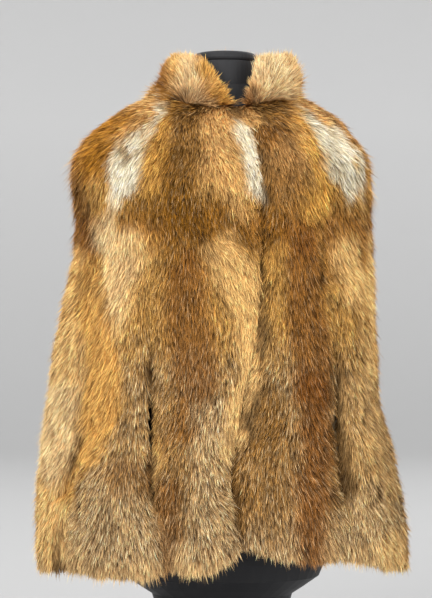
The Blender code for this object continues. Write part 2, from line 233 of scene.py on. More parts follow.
for name, place, size, watts in LIGHTS:
    lamp_data = bpy.data.lights.new(name, "AREA")
    lamp_data.size = size
    lamp_data.energy = watts
    lamp = bpy.data.objects.new(name, lamp_data)
    lamp.location = place
    lamp.rotation_euler = (AIM - Vector(place)).to_track_quat("-Z", "Y").to_euler()
    bpy.context.scene.collection.objects.link(lamp)

world = bpy.data.worlds.new("soft sky")
world.use_nodes = True
sky = world.node_tree.nodes["Background"]
sky.inputs["Color"].default_value = rgba(SKY_GREY)
sky.inputs["Strength"].default_value = SKY_STRENGTH
bpy.context.scene.world = world
print("lights:", len(LIGHTS))

# %% [markdown]
# ## The shape of the cape
#
# The cape's outside is one surface round the form. Every point on it has an angle, which
# turns from the front towards the wearer's left, and a level, which counts down from the
# neck seam at 0 to the hem at 14. It could be sculpted, but the solids were made from the
# same tables, and with the tables repeated here the fur grows exactly where they are.
#
# All of it works on whole arrays of angles and levels at once, because a coat of fur needs
# thousands of places on the surface.

# %% Tables of the cape's surface
HEM_HEIGHT = 0.190
SEAM_GAP = 0.0003  # between two pelts
LAST_LEVEL = 14
FULLNESS = 0.030  # how much a ring swells between its front, sides and back

SECTION_COLUMNS = ("height", "right", "left", "front", "back", "dip")
SECTIONS = (
    (0.796, 0.106, 0.114, 0.092, 0.100, 0.030),
    (0.783, 0.148, 0.152, 0.104, 0.113, 0.024),
    (0.758, 0.190, 0.194, 0.117, 0.127, 0.017),
    (0.728, 0.220, 0.217, 0.131, 0.142, 0.010),
    (0.694, 0.240, 0.236, 0.145, 0.155, 0.004),
    (0.652, 0.247, 0.244, 0.158, 0.167, 0.000),
    (0.600, 0.242, 0.245, 0.170, 0.178, 0.000),
    (0.540, 0.244, 0.248, 0.180, 0.186, 0.000),
    (0.470, 0.258, 0.252, 0.187, 0.193, 0.000),
    (0.380, 0.277, 0.256, 0.194, 0.201, 0.000),
    (0.290, 0.290, 0.262, 0.201, 0.210, 0.000),
    (0.210, 0.301, 0.280, 0.208, 0.219, 0.000),
    (0.130, 0.308, 0.294, 0.214, 0.227, 0.000),
    (0.060, 0.309, 0.302, 0.219, 0.233, 0.000),
    (0.000, 0.308, 0.309, 0.222, 0.237, 0.000),
)

# A seam's angle at six levels, evenly spaced from the neck to the hem
SEAMS = (
    ("front_edge", 14.0, 13.0, 14.0, 12.5, 3.0, 6.5),
    ("slit_left", 56.0, 50.0, 42.5, 44.0, 41.5, 41.0),
    ("side_left", 88.0, 84.0, 80.0, 78.0, 75.0, 74.0),
    ("hip_left", 118.0, 116.0, 114.0, 112.0, 110.0, 110.0),
    ("back_side_left", 152.0, 152.0, 151.0, 150.0, 149.0, 149.0),
    ("center_back", 189.0, 189.0, 189.0, 189.0, 188.0, 188.0),
    ("back_side_right", 227.0, 227.0, 227.0, 228.0, 229.0, 229.0),
    ("hip_right", 262.0, 264.0, 266.0, 268.0, 268.0, 268.0),
    ("side_right", 284.0, 293.0, 301.0, 310.0, 307.0, 302.0),
    ("slit_right", 305.0, 323.0, 326.0, 335.5, 338.5, 343.0),
)
PELTS = (
    "front_left",
    "side_front_left",
    "side_left",
    "side_back_left",
    "back_left",
    "back_right",
    "side_back_right",
    "side_right",
    "side_front_right",
    "front_right",
)
BACK_PELT = PELTS.index("back_right")

# The seam that a slit is in, its top and bottom level and its width
SLITS = (("slit_right", 9.0, 11.5, 0.013), ("slit_left", 9.0, 11.5, 0.015))
SLIT_TURN = 0.5  # levels over which a seam's faces turn straight back beside a slit

# A fold's angle at the neck and at the hem, the level where it starts, its depth in
# metres, which is below zero for a trough, and its width in degrees
FOLDS = (
    (27.0, 24.0, 5.0, 0.007, 9.0),  # front left ridge
    (44.0, 40.0, 6.0, -0.010, 6.0),  # slit left trough
    (56.0, 54.0, 5.0, 0.009, 7.0),  # slit left ridge
    (70.0, 68.0, 8.0, -0.011, 7.0),  # left trough
    (86.0, 84.0, 9.0, 0.006, 8.0),  # left ridge
    (105.0, 102.0, 7.0, -0.013, 8.0),  # left back trough
    (122.0, 124.0, 5.0, 0.009, 9.0),  # left back ridge
    (141.0, 144.0, 6.0, -0.015, 8.0),  # back left trough
    (164.0, 162.0, 5.0, 0.008, 10.0),  # back left ridge
    (186.0, 181.0, 8.0, -0.012, 8.0),  # center back trough
    (204.0, 202.0, 5.0, 0.009, 10.0),  # back right ridge
    (222.0, 226.0, 6.0, -0.014, 8.0),  # back right trough
    (243.0, 246.0, 5.0, 0.009, 9.0),  # right back ridge
    (263.0, 260.0, 8.0, -0.010, 8.0),  # right back trough
    (312.0, 302.0, 7.0, -0.017, 7.0),  # right trough
    (326.0, 323.0, 7.0, 0.010, 8.0),  # right ridge
    (338.0, 343.0, 7.5, -0.011, 6.0),  # slit right trough
    (352.0, 355.0, 6.0, 0.008, 8.0),  # front right ridge
)

# How far the hem lies above HEM_HEIGHT, every 15 degrees from the front
HEM_LIFT = (
    0.028, 0.045, 0.040, 0.036, 0.018, 0.009, 0.006, 0.009, 0.007, 0.004, 0.003, 0.005,
    0.001, 0.003, 0.004, 0.006, 0.005, 0.002, 0.004, 0.008, 0.012, 0.017, 0.013, 0.017,
)
# Where the hem is notched: the angle, how much higher it is, and the width in degrees
HEM_NOTCHES = ((6.5, 0.026, 7.0), (343.0, 0.014, 4.0))
HEM_FROM_LEVEL = 11.0
FOLD_FULL = 0.85  # share of a fold's length by which it has its whole depth
DEGREE_STEP = 0.5  # how far to each side a slope is measured, in degrees
LEVEL_STEP = 0.05  # and in levels

COLLAR_COLUMNS = (
    "rise", "right", "left", "front", "back", "dip", "depth", "edge_right", "edge_left"
)
COLLAR = (
    (0.000, 0.106, 0.114, 0.092, 0.100, 0.030, 0.022, 14.0, 14.0),
    (0.014, 0.101, 0.127, 0.098, 0.105, 0.024, 0.028, 4.0, 16.0),
    (0.030, 0.098, 0.129, 0.099, 0.107, 0.018, 0.030, -1.0, 18.0),
    (0.045, 0.093, 0.123, 0.095, 0.107, 0.012, 0.029, -11.0, 20.5),
    (0.057, 0.082, 0.113, 0.088, 0.102, 0.007, 0.023, -24.0, 25.0),
    (0.065, 0.068, 0.101, 0.080, 0.093, 0.005, 0.012, -36.0, 30.0),
)

# %% [markdown]
# ## Curves, rings and folds
#
# The table gives the cape's height, half widths and depths at each level. A smooth curve
# joins them, a ring goes round at each level, and the folds and the hem's waves are added
# to it. Sculpting would be freer, but then the fur could not match the solids.

# %% Curves, rings and folds
def by_column(columns, rows):
    return {name: np.array(values) for name, values in zip(columns, zip(*rows))}


SECTION = by_column(SECTION_COLUMNS, SECTIONS)
COLLAR_SECTION = by_column(COLLAR_COLUMNS, COLLAR)


def on_curve(values, place):
    """The values at these places on a smooth curve through values, which lie at 0, 1, 2..."""
    values, place = np.asarray(values, float), np.asarray(place, float)
    last = len(values) - 1
    index = np.clip(place.astype(int), 0, last - 1)
    part = place - index
    start, end = values[index], values[index + 1]
    slope_in = (end - values[np.maximum(index - 1, 0)]) / 2
    slope_out = (values[np.minimum(index + 2, last)] - start) / 2
    square, cube = part**2, part**3
    return (
        start * (2 * cube - 3 * square + 1)
        + slope_in * (cube - 2 * square + part)
        + end * (3 * square - 2 * cube)
        + slope_out * (cube - square)
    )


def smooth_step(low, high, value):
    part = np.clip((value - low) / (high - low), 0.0, 1.0)
    return part * part * (3 - 2 * part)


def turn_from(angle, other):
    """How far other lies past angle, in degrees from -180 to 180."""
    return (other - angle + 180.0) % 360.0 - 180.0


def fold_depth(angle, level):
    total = np.zeros(np.broadcast(angle, level).shape)
    for top, hem, first, depth, width in FOLDS:
        share = (level - first) / (LAST_LEVEL - first)
        away = turn_from(top + (hem - top) * share, angle)
        deep = depth * smooth_step(0.0, FOLD_FULL, share) * np.exp(-((away / width) ** 2))
        total = total + np.where(share > 0, deep, 0.0)
    return total


def hem_lift(angle):
    place = (angle % 360.0) / (360.0 / len(HEM_LIFT))
    lift = on_curve(HEM_LIFT[-1:] + HEM_LIFT + HEM_LIFT[:2], place + 1)
    for middle, extra, width in HEM_NOTCHES:
        lift = lift + extra * np.exp(-((turn_from(middle, angle) / width) ** 2))
    return lift


def on_ring(table, angle, place):
    """Points of the ring at this place down a table, with z still at zero."""
    across, ahead = np.sin(np.radians(angle)), np.cos(np.radians(angle))
    full = 1 + FULLNESS * (2 * across * ahead) ** 2
    side = np.where(across > 0, on_curve(table["left"], place), on_curve(table["right"], place))
    depth = np.where(ahead > 0, on_curve(table["front"], place), on_curve(table["back"], place))
    x, y = side * across * full, -depth * ahead * full
    return np.stack([x, y, np.zeros_like(x)], -1)


def cape_surface(angle, level):
    """The outside of the cape's fur."""
    angle, level = np.broadcast_arrays(np.asarray(angle, float), np.asarray(level, float))
    outward = np.stack(
        [np.sin(np.radians(angle)), -np.cos(np.radians(angle)), np.zeros_like(angle)], -1
    )
    point = on_ring(SECTION, angle, level) + fold_depth(angle, level)[..., None] * outward
    point[..., 2] = HEM_HEIGHT + on_curve(SECTION["height"], level)
    point[..., 2] -= on_curve(SECTION["dip"], level) * np.cos(np.radians(angle))
    point[..., 2] += hem_lift(angle) * smooth_step(HEM_FROM_LEVEL, LAST_LEVEL, level)
    return point


def collar_surface(angle, place):
    """The outside of the collar's fur, whose places count up from the neck seam."""
    angle, place = np.broadcast_arrays(np.asarray(angle, float), np.asarray(place, float))
    point = on_ring(COLLAR_SECTION, angle, place)
    point[..., 2] = HEM_HEIGHT + SECTION["height"][0] + SEAM_GAP
    point[..., 2] += on_curve(COLLAR_SECTION["rise"], place)
    point[..., 2] -= on_curve(COLLAR_SECTION["dip"], place) * np.cos(np.radians(angle))
    return point


def unit(vectors):
    return vectors / np.maximum(np.linalg.norm(vectors, axis=-1, keepdims=True), 1e-12)


def level_normal(surface, angle, place):
    """The outward horizontal direction square to a surface's level."""
    along = surface(angle + DEGREE_STEP, place) - surface(angle - DEGREE_STEP, place)
    return unit(np.stack([along[..., 1], -along[..., 0], np.zeros_like(along[..., 0])], -1))


def cape_normal(angle, level):
    along = cape_surface(angle + DEGREE_STEP, level) - cape_surface(angle - DEGREE_STEP, level)
    down = cape_surface(angle, level + LEVEL_STEP) - cape_surface(angle, level - LEVEL_STEP)
    return unit(np.cross(down, along))


def seam_angle(index, level):
    turns, index = divmod(index, len(SEAMS))
    angles = SEAMS[index][1:]
    return on_curve(angles, level / LAST_LEVEL * (len(angles) - 1)) + 360.0 * turns


def slit_at(index, level):
    """How wide a seam stands open, and from 0 to 1 how far its faces run straight back."""
    name = SEAMS[index % len(SEAMS)][0]
    wide, turned = np.zeros_like(level), np.zeros_like(level)
    for seam, top, bottom, width in SLITS:
        if name == seam:
            share = np.clip((level - top) / (bottom - top), 0.0, 1.0)
            wide = width * (1 - (2 * share - 1) ** 2)
            turned = smooth_step(top - SLIT_TURN, top, level)
            turned = turned * (1 - smooth_step(bottom, bottom + SLIT_TURN, level))
    return wide, turned


def metres_per_degree(angle, level):
    step = cape_surface(angle + DEGREE_STEP, level) - cape_surface(angle - DEGREE_STEP, level)
    return np.linalg.norm(step, axis=-1) / (2 * DEGREE_STEP)


print("front of the cape at level 8:", np.round(cape_surface(0.0, 8.0), 3))

# %% [markdown]
# ## Walls for the pelts
#
# A pelt's wall is its skin and the short dense underfur, about 10 mm thick. It lies on the
# inner side of the pelt's solid and ends a little short of the hem, because the long
# hairs hang past it. A thickened plane would do the same, but two grids of points, one a
# side, let the edges at the seams and slits be shaped: the inner side faces the form, and
# the outer side is the bed that the long hairs grow from.
#
# Creases that are too small for the solids are pressed into both sides. Each one is placed along a
# line on a flat chart of the front.

# %% Chart of the front
CHART_EYE = 3.2  # metres in front of the cape
CHART_MIDDLE = 644.0  # millimetres up, level with that eye
CHART_FADE = (78, 96)  # degrees from the front over which the chart's forms fade out


def front_chart(points):
    """Where points lie on a flat chart of the front, in millimetres across and up.

    The chart stands at the middle of the cape and shows it as an eye in front of it does,
    so that marks on its near side are a little larger on the chart.
    """
    nearer = 1 / (1 + points[..., 1] / CHART_EYE)
    across = points[..., 0] * nearer * 1000
    up = CHART_MIDDLE + (points[..., 2] * 1000 - CHART_MIDDLE) * nearer
    return np.stack([across, up], -1)


def past_line(places, stops):
    """How far places lie outside a line whose stops are across, up and half its width."""
    nearest = np.full(places.shape[:-1], np.inf)
    stops = np.array(stops, float)
    for start, end in zip(stops, stops[1:]):
        step = end[:2] - start[:2]
        along = ((places - start[:2]) @ step) / max(step @ step, 1e-9)
        along = np.clip(along, 0.0, 1.0)
        middle = start[:2] + along[..., None] * step
        half = start[2] + along * (end[2] - start[2])
        nearest = np.minimum(nearest, np.linalg.norm(places - middle, axis=-1) - half)
    return nearest

# %% Creases
# Each crease is its depth in metres, how softly it runs out in millimetres, and its line,
# whose stops are across and up on the chart and half the width there
CREASES = (
    # hem fold right
    (0.009, 11, ((-269, 262, 3), (-274, 198, 6))),
    # below slit right
    (0.006, 14, ((-114, 330, 3), (-97, 286, 3), (-96, 190, 4))),
    # slit line right
    (0.008, 7, ((-119, 570, 2), (-117, 446, 2), (-116, 337, 2), (-117, 289, 2))),
    # slit line left
    (0.007, 7, ((190, 570, 2), (196, 446, 2), (203, 322, 2))),
    # side seam left
    (0.007, 13, ((172, 758, 4), (168, 684, 4))),
    # small fold right
    (0.005, 12, ((-208, 738, 4), (-206, 700, 4))),
    # beside opening
    (0.009, 20, ((26, 408, 4), (16, 352, 8), (28, 264, 6))),
    # beside slit left
    (0.007, 16, ((184, 444, 4), (194, 346, 5))),
    # streak fold right
    (0.005, 12, ((-218, 452, 3), (-238, 380, 4))),
    # panel fold right
    (
        0.006,
        9,
        ((-221, 456, 2), (-231, 413, 2), (-236, 383, 2), (-249, 352, 2), (-272, 327, 2)),
    ),
    # shoulder dip right
    (0.004, 24, ((-150, 912, 8), (-166, 848, 14))),
    # shoulder dip left
    (0.004, 22, ((184, 904, 6), (204, 846, 12))),
)


def from_front(angle, fade):
    """From 1 in front to 0 behind, between two angles from the front."""
    return 1 - smooth_step(*fade, np.abs(turn_from(0.0, angle)))


def crease_depth(points, angle):
    places = front_chart(points)
    total = np.zeros(points.shape[:-1])
    for depth, soft, line in CREASES:
        total += depth * (1 - smooth_step(0, soft, past_line(places, line)))
    return total * from_front(angle, CHART_FADE)


print("creases:", len(CREASES))

# %% Grids of points for a pelt's wall
GRID_STEP = 0.0075
FINE_LEVELS = 400  # levels that a pelt's length is measured at
NECK_LEVELS = 0.8  # levels below the neck over which the wall turns square to the surface
LEAST_FACING = 0.5  # keeps slanted edges from growing too long
UNDERFUR_DEPTH = 0.0115  # from the fur's outside down to the underfur
SKIN_DEPTH = 0.0216  # and to the inner side of the skin
HEM_BACK = 0.026  # how far the wall ends above the solid's hem
EDGE_BACK = 0.0008  # and how far short of the front opening
OVER_GROOVE = 0.001  # how far the front edge that laps over is pressed in
UNDER_GROOVE = 0.010  # and the edge that lies under it
SLIT_GROOVE = 0.005
SEAM_GROOVE = 0.0016
GROOVE_WIDTH = 0.013
OPENING_REACH = 0.020  # how far from an opening the hairs are short


def pelt_levels(index):
    """Levels of a pelt's rows, evenly spaced down its middle."""
    fine = np.linspace(0, LAST_LEVEL, FINE_LEVELS)
    middle = (seam_angle(index, fine) + seam_angle(index + 1, fine)) / 2
    points = cape_surface(middle, fine)
    walked = np.r_[0, np.cumsum(np.linalg.norm(np.diff(points, axis=0), axis=1))]
    length = walked[-1] - HEM_BACK
    count = int(length / GRID_STEP) + 1
    return np.interp(np.linspace(0, length, count), walked, fine), length


def pelt_angles(index, levels):
    """Angles of a pelt's columns at each level, and how far each is from the two seams."""
    edges, widths = [], []
    for side, sign in ((index, 1), (index + 1, -1)):
        angle = seam_angle(side, levels)
        per_degree = metres_per_degree(angle, levels)
        gap = SEAM_GAP / 2 + slit_at(side, levels)[0] / 2
        if SEAMS[side % len(SEAMS)][0] == "front_edge":
            gap = gap + EDGE_BACK
        edges.append(angle + sign * gap / per_degree)
        widths.append(per_degree)
    width = (edges[1] - edges[0]) * (widths[0] + widths[1]) / 2
    count = int(width.max() / GRID_STEP) + 1
    shares = np.linspace(0, 1, count)
    angles = edges[0][:, None] + (edges[1] - edges[0])[:, None] * shares
    return angles, shares * width[:, None], (1 - shares) * width[:, None], width


def pelt_grids(index):
    """The outer and the inner side of a pelt's wall, and what is known at each point."""
    levels, length = pelt_levels(index)
    angles, from_first, from_last, width = pelt_angles(index, levels)
    rows = np.broadcast_to(levels[:, None], angles.shape)
    surface = cape_surface(angles, rows)
    normal = cape_normal(angles, rows)
    flat = level_normal(cape_surface, angles, rows)
    normal = unit(flat + (normal - flat) * smooth_step(0.0, NECK_LEVELS, rows)[..., None])
    depth = np.full(angles.shape, UNDERFUR_DEPTH)
    through = normal.copy()
    for side, away in ((index, from_first), (index + 1, from_last)):
        groove = 1 - smooth_step(0.0, GROOVE_WIDTH, away)
        turned = slit_at(side, levels)[1][:, None]
        edge = {0: UNDER_GROOVE, len(SEAMS): OVER_GROOVE}.get(side, SEAM_GROOVE)
        depth += groove * np.maximum(edge, turned * SLIT_GROOVE)
        straight = (turned * (away < 1e-9))[..., None]
        through = through * (1 - straight) + np.array([0.0, -1.0, 0.0]) * straight
    through = through / np.maximum((through * normal).sum(-1), LEAST_FACING)[..., None]
    creased = crease_depth(surface, angles)[..., None] * normal
    outer = surface - depth[..., None] * through - creased
    inner = surface - SKIN_DEPTH * through - creased
    openings = []
    for side, away, sign in ((index, from_first, 1), (index + 1, from_last, -1)):
        in_front = SEAMS[side % len(SEAMS)][0] == "front_edge"
        stands_open = 1.0 if in_front else slit_at(side, levels)[1][:, None]
        openings.append((sign, (1 - smooth_step(0.0, OPENING_REACH, away)) * stands_open))
    known = {
        "angle": angles,
        "level": rows,
        "length": length,
        "width": width.max(),
        "openings": openings,
    }
    return outer, inner, known


print("back_right wall:", pelt_grids(BACK_PELT)[0].shape[:2], "points a side")

# %% [markdown]
# ## Closing a wall
#
# Two grids that have the same rows and columns become one closed wall: a face for every
# cell of each grid, and a rim of faces that joins their borders. The colour of each point
# is kept on the mesh, so that skin and underfur share one material.

# %% Walls from two grids
def mesh_object(name, points, faces):
    data = bpy.data.meshes.new(name)
    data.from_pydata(points.tolist(), [], faces)
    made = bpy.data.objects.new(name, data)
    bpy.context.scene.collection.objects.link(made)
    return made


def store(data, name, values):
    """Keeps a number or a colour for each point of a mesh."""
    values = np.asarray(values, np.float32)
    if values.ndim == 1:
        data.attributes.new(name, "FLOAT", "POINT").data.foreach_set("value", values)
    else:
        kept = data.attributes.new(name, "FLOAT_VECTOR", "POINT")
        kept.data.foreach_set("vector", values.ravel())


def closed_wall(name, outer, inner):
    rows, columns = outer.shape[:2]
    number = np.arange(rows * columns).reshape(rows, columns)
    faces = []
    for shift, order in ((0, 1), (rows * columns, -1)):
        cells = np.stack(
            [number[:-1, :-1], number[1:, :-1], number[1:, 1:], number[:-1, 1:]], -1
        )
        faces += (cells.reshape(-1, 4)[:, ::order] + shift).tolist()
    rim = np.concatenate(
        [number[0, :-1], number[:-1, -1], number[-1, :0:-1], number[:0:-1, 0]]
    )
    for here, after in zip(rim.tolist(), np.roll(rim, -1).tolist()):
        faces.append((here, after, after + rows * columns, here + rows * columns))
    points = np.concatenate([outer.reshape(-1, 3), inner.reshape(-1, 3)])
    made = mesh_object(name, points, faces)
    turned = bmesh.new()
    turned.from_mesh(made.data)
    bmesh.ops.recalc_face_normals(turned, faces=turned.faces)
    turned.to_mesh(made.data)
    turned.free()
    made.data.shade_smooth()
    return made


# %% [markdown]
# ## Colours of the fur
#
# A red fox is rust brown along the back, golden on the flanks, pale on the belly and white
# at the throat, and its winter coat is grizzled, which means that dark and pale hairs
# stand mixed. A furrier lays the pelts side by side, so the colours run down the cape in
# stripes, with white wedges at the shoulders.
#
# Each tone is the colour of a hair's tip, that of its root, and how grizzled it is. The markings
# are soft lines of a tone, placed on the chart of the front, and on a second chart, of angle and
# height, for the sides and the back.

# %% Tones
# The colour of a hair's tip, that of its root, and how grizzled the coat is
TONES = {
    "fox": ((219, 167, 88), (110, 68, 22), 0.50),
    # shadow is painted shade: a dark tone laid in the hair where shade falls, along folds, slits,
    # the front opening and the foot of the collar's V
    "shadow": ((84, 56, 24), (40, 24, 8), 0.15),
    "tawny": ((190, 131, 58), (82, 47, 15), 0.46),
    "rust": ((154, 94, 32), (52, 25, 5), 0.50),
    "umber": ((158, 105, 27), (32, 17, 3), 0.58),
    "amber": ((208, 143, 42), (110, 64, 10), 0.22),
    "copper": ((249, 200, 128), (166, 109, 51), 0.22),
    "gold": ((240, 184, 92), (146, 92, 28), 0.20),
    "orange": ((240, 188, 106), (172, 114, 46), 0.12),
    "pale": ((255, 212, 142), (208, 151, 82), 0.12),
    "silver": ((214, 168, 105), (90, 58, 26), 0.88),
    "ash": ((232, 189, 131), (80, 52, 26), 0.93),
    "fringe": ((232, 194, 136), (154, 112, 66), 0.40),
    "white": ((255, 244, 216), (230, 210, 172), 0.25),
    "cream": ((255, 228, 178), (224, 178, 122), 0.12),
    "sand": ((232, 176, 104), (152, 98, 44), 0.25),
}

# Where these lie in a tone's row of numbers
TONE_PARTS = 7
TIP, ROOT, COLOURS, GRIZZLE = slice(0, 3), slice(3, 6), slice(0, 6), 6


def tone_values(name):
    tip, root, grizzle = TONES[name]
    return np.r_[from_screen(*tip), from_screen(*root), grizzle]


WAVES = 7
WAVE_SIZES = (0.7, 1.6)  # shares of the ripples' size
WAVE_LIMIT = 1.5


def ripples(points, size, seed):
    """Smooth random values from -1 to 1, which vary over about this size in metres."""
    draw = np.random.default_rng(seed)
    total = np.zeros(points.shape[:-1])
    for _ in range(WAVES):
        direction = unit(draw.normal(size=3)) * 2 * np.pi / (size * draw.uniform(*WAVE_SIZES))
        total += np.sin(points @ direction + draw.uniform(0, 2 * np.pi))
    return np.clip(total / np.sqrt(WAVES), -WAVE_LIMIT, WAVE_LIMIT) / WAVE_LIMIT


def rippled(points, rows):
    """Ripples added up, each of them a strength, a size in metres and a seed."""
    return sum(strength * ripples(points, size, seed) for strength, size, seed in rows)


print("tones:", len(TONES))

# %% Markings of the front
# Each row is a tone, its strength, the softness of its edge, and a line of stops, which
# are millimetres across and up on the chart and half the width there.
FRONT_MARKS = (
    ("amber", 0.70, 20, ((-201, 954, 23), (-218, 892, 23), (-208, 849, 16))),
    ("pale", 0.35, 26, ((224, 512, 14), (236, 396, 22), (250, 258, 20))),
    ("cream", 0.45, 22, ((-244, 580, 16), (-262, 479, 20), (-272, 364, 16))),
    ("pale", 0.90, 22, ((-240, 590, 18), (-254, 479, 22), (-267, 364, 22))),
    ("pale", 0.95, 28, ((-258, 420, 26), (-270, 347, 22), (-280, 240, 16))),
    ("umber", 0.55, 24, ((82, 479, 16), (87, 380, 23), (79, 281, 20))),
    ("rust", 0.50, 16, ((-244, 845, 10), (-231, 801, 13), (-214, 750, 13))),
    ("amber", 0.85, 15, ((-155, 944, 13), (-195, 911, 20), (-205, 867, 21))),
    ("umber", 0.80, 10, ((-102, 1024, 8), (-97, 1000, 10), (-102, 984, 10))),
    ("gold", 0.90, 10, ((-86, 961, 12), (-102, 908, 13), (-111, 858, 13), (-112, 816, 13))),
    ("umber", 0.85, 14, ((-50, 962, 18), (-60, 908, 22), (-70, 850, 24), (-64, 800, 24))),
    ("copper", 0.70, 15, ((-13, 941, 13), (3, 900, 20), (13, 839, 21), (23, 789, 20))),
    ("umber", 0.75, 18, ((-132, 801, 13), (-69, 786, 26), (-13, 776, 30), (30, 756, 16))),
    ("umber", 0.80, 8, ((-28, 807, 2), (7, 789, 4), (41, 781, 4))),
    ("umber", 0.60, 16, ((-53, 733, 43), (-69, 707, 20))),
    ("gold", 0.70, 13, ((-175, 802, 15), (-182, 756, 16))),
    ("pale", 0.85, 26, ((-165, 736, 18), (-158, 700, 22), (-168, 650, 20), (-176, 600, 14))),
    ("cream", 0.45, 20, ((-165, 740, 14), (-160, 690, 16), (-168, 640, 13))),
    ("pale", 0.70, 22, ((0, 717, 18), (26, 677, 24), (38, 624, 18), (46, 570, 12))),
    ("pale", 0.45, 13, ((51, 586, 10), (50, 525, 10))),
    ("rust", 0.70, 22, ((-56, 685, 24), (-54, 594, 28), (-50, 492, 26), (-56, 420, 16))),
    ("pale", 0.85, 12, ((-234, 720, 12), (-241, 690, 13), (-251, 651, 13))),
    ("rust", 0.60, 8, ((-206, 736, 7), (-208, 707, 7))),
    ("orange", 0.90, 12, ((-211, 697, 13), (-214, 660, 13), (-208, 608, 13))),
    ("orange", 1.00, 12, (
        (-205, 601, 13), (-191, 528, 21), (-197, 466, 29), (-207, 425, 27), (-232, 380, 16),
        (-252, 317, 10),
    )),
    ("cream", 0.62, 18, ((-260, 475, 20), (-267, 420, 20), (-274, 365, 16))),
    ("rust", 0.70, 8, ((-158, 370, 8), (-158, 344, 8))),
    ("rust", 0.65, 16, ((-182, 357, 13), (-155, 340, 16), (-129, 347, 15))),
    ("ash", 0.75, 26, ((-175, 314, 43), (-172, 255, 43))),
    ("umber", 0.55, 14, ((-182, 352, 8), (-150, 338, 12), (-128, 345, 10))),
    ("silver", 0.10, 23, ((-271, 446, 26), (-280, 364, 23), (-284, 281, 23))),
    ("umber", 0.40, 24, ((-79, 486, 16), (-73, 413, 22), (-73, 301, 18))),
    ("rust", 0.60, 16, ((-82, 330, 10), (-92, 248, 12), (-95, 195, 11))),
    ("gold", 0.60, 7, ((-111, 453, 5), (-107, 393, 5), (-106, 347, 3))),
    ("ash", 0.70, 23, ((-16, 446, 21), (-23, 364, 16), (-20, 281, 23), (-26, 235, 23))),
    ("pale", 0.65, 14, ((44, 545, 10), (38, 500, 13), (34, 462, 15), (22, 413, 14), (12, 383, 9))),
    ("umber", 0.80, 15, ((82, 958, 23), (89, 934, 23), (76, 911, 16))),
    ("rust", 0.50, 18, ((92, 908, 25), (104, 842, 30), (112, 773, 28))),
    ("gold", 0.85, 10, ((132, 938, 12), (148, 892, 13), (165, 835, 15), (165, 809, 13))),
    ("gold", 0.65, 16, ((142, 809, 13), (148, 790, 12))),
    ("umber", 0.65, 15, ((79, 786, 15), (76, 743, 13))),
    ("gold", 0.25, 14, ((82, 720, 13), (86, 677, 10))),
    ("rust", 0.75, 16, ((129, 726, 20), (139, 611, 23), (148, 492, 25))),
    ("rust", 0.86, 24, ((148, 492, 20), (147, 364, 18), (145, 248, 17), (152, 205, 14))),
    ("umber", 0.45, 13, ((73, 472, 15), (66, 413, 16))),
    ("umber", 0.65, 12, ((56, 400, 10), (33, 354, 13), (30, 314, 12), (36, 264, 8))),
    ("rust", 0.55, 8, ((168, 753, 7), (170, 684, 7))),
    ("pale", 0.85, 12, ((195, 720, 13), (205, 684, 15), (211, 644, 12))),
    ("pale", 0.85, 8, ((238, 746, 7), (239, 644, 8), (238, 525, 8))),
    ("gold", 0.60, 12, ((214, 924, 12), (231, 882, 10), (238, 816, 10))),
    ("rust", 0.60, 10, ((172, 954, 10), (195, 938, 10), (221, 898, 7))),
    ("umber", 0.45, 8, ((185, 436, 8), (191, 347, 8))),
    ("pale", 0.85, 5, ((198, 487, 2), (201, 413, 2), (206, 334, 2))),
    ("pale", 0.70, 5, ((-111, 479, 2), (-109, 413, 2), (-107, 337, 2))),
    # The shadow rows here and below are painted shade in the fur: two folds low on the wearer's
    # right, the two slits, the foot of the collar's V and the front opening
    ("shadow", 0.85, 4, (
        (-221, 455, 3), (-231, 413, 4), (-235, 383, 4), (-246, 352, 4), (-258, 327, 3),
    )),
    ("shadow", 0.85, 5, ((-269, 251, 4), (-272, 195, 4))),
    ("ash", 0.65, 16, ((238, 298, 26), (248, 278, 30))),
    ("pale", 0.60, 16, ((280, 238, 16), (290, 212, 16))),
    ("shadow", 0.90, 5, ((-119, 572, 5), (-117, 446, 6), (-116, 337, 5), (-117, 289, 4))),
    ("shadow", 0.85, 5, ((190, 566, 5), (196, 446, 5), (203, 330, 4))),
    ("shadow", 0.60, 8, ((18, 959, 7), (35, 956, 7))),
    ("shadow", 0.75, 6, (
        (66, 892, 3), (73, 809, 3), (69, 743, 3), (68, 644, 3), (66, 562, 2),
        (63, 504, 2), (50, 459, 2), (40, 403, 3), (23, 357, 5), (23, 306, 6),
        (31, 256, 4),
    )),
    ("white", 0.97, 9, (
        (-139, 892, 12), (-153, 865, 21), (-157, 849, 24), (-162, 832, 21), (-170, 817, 11),
    )),
    ("white", 0.95, 4, ((-87, 979, 2), (-99, 953, 3), (-114, 928, 5), (-132, 905, 8))),
    ("silver", 0.85, 6, ((-148, 898, 4), (-160, 880, 5))),
    ("cream", 0.70, 12, ((-173, 802, 12), (-185, 766, 13), (-188, 736, 13))),
    ("white", 0.92, 8, ((31, 928, 3), (40, 896, 6), (50, 865, 7), (59, 832, 5), (66, 812, 2))),
    ("white", 0.97, 9, (
        (135, 961, 2), (150, 934, 5), (165, 906, 13), (182, 882, 20), (194, 858, 27),
        (197, 836, 22), (197, 818, 10),
    )),
    ("white", 0.85, 7, ((200, 866, 8), (206, 846, 10), (206, 828, 7))),
    ("silver", 0.55, 6, ((176, 852, 4), (190, 838, 4))),
)

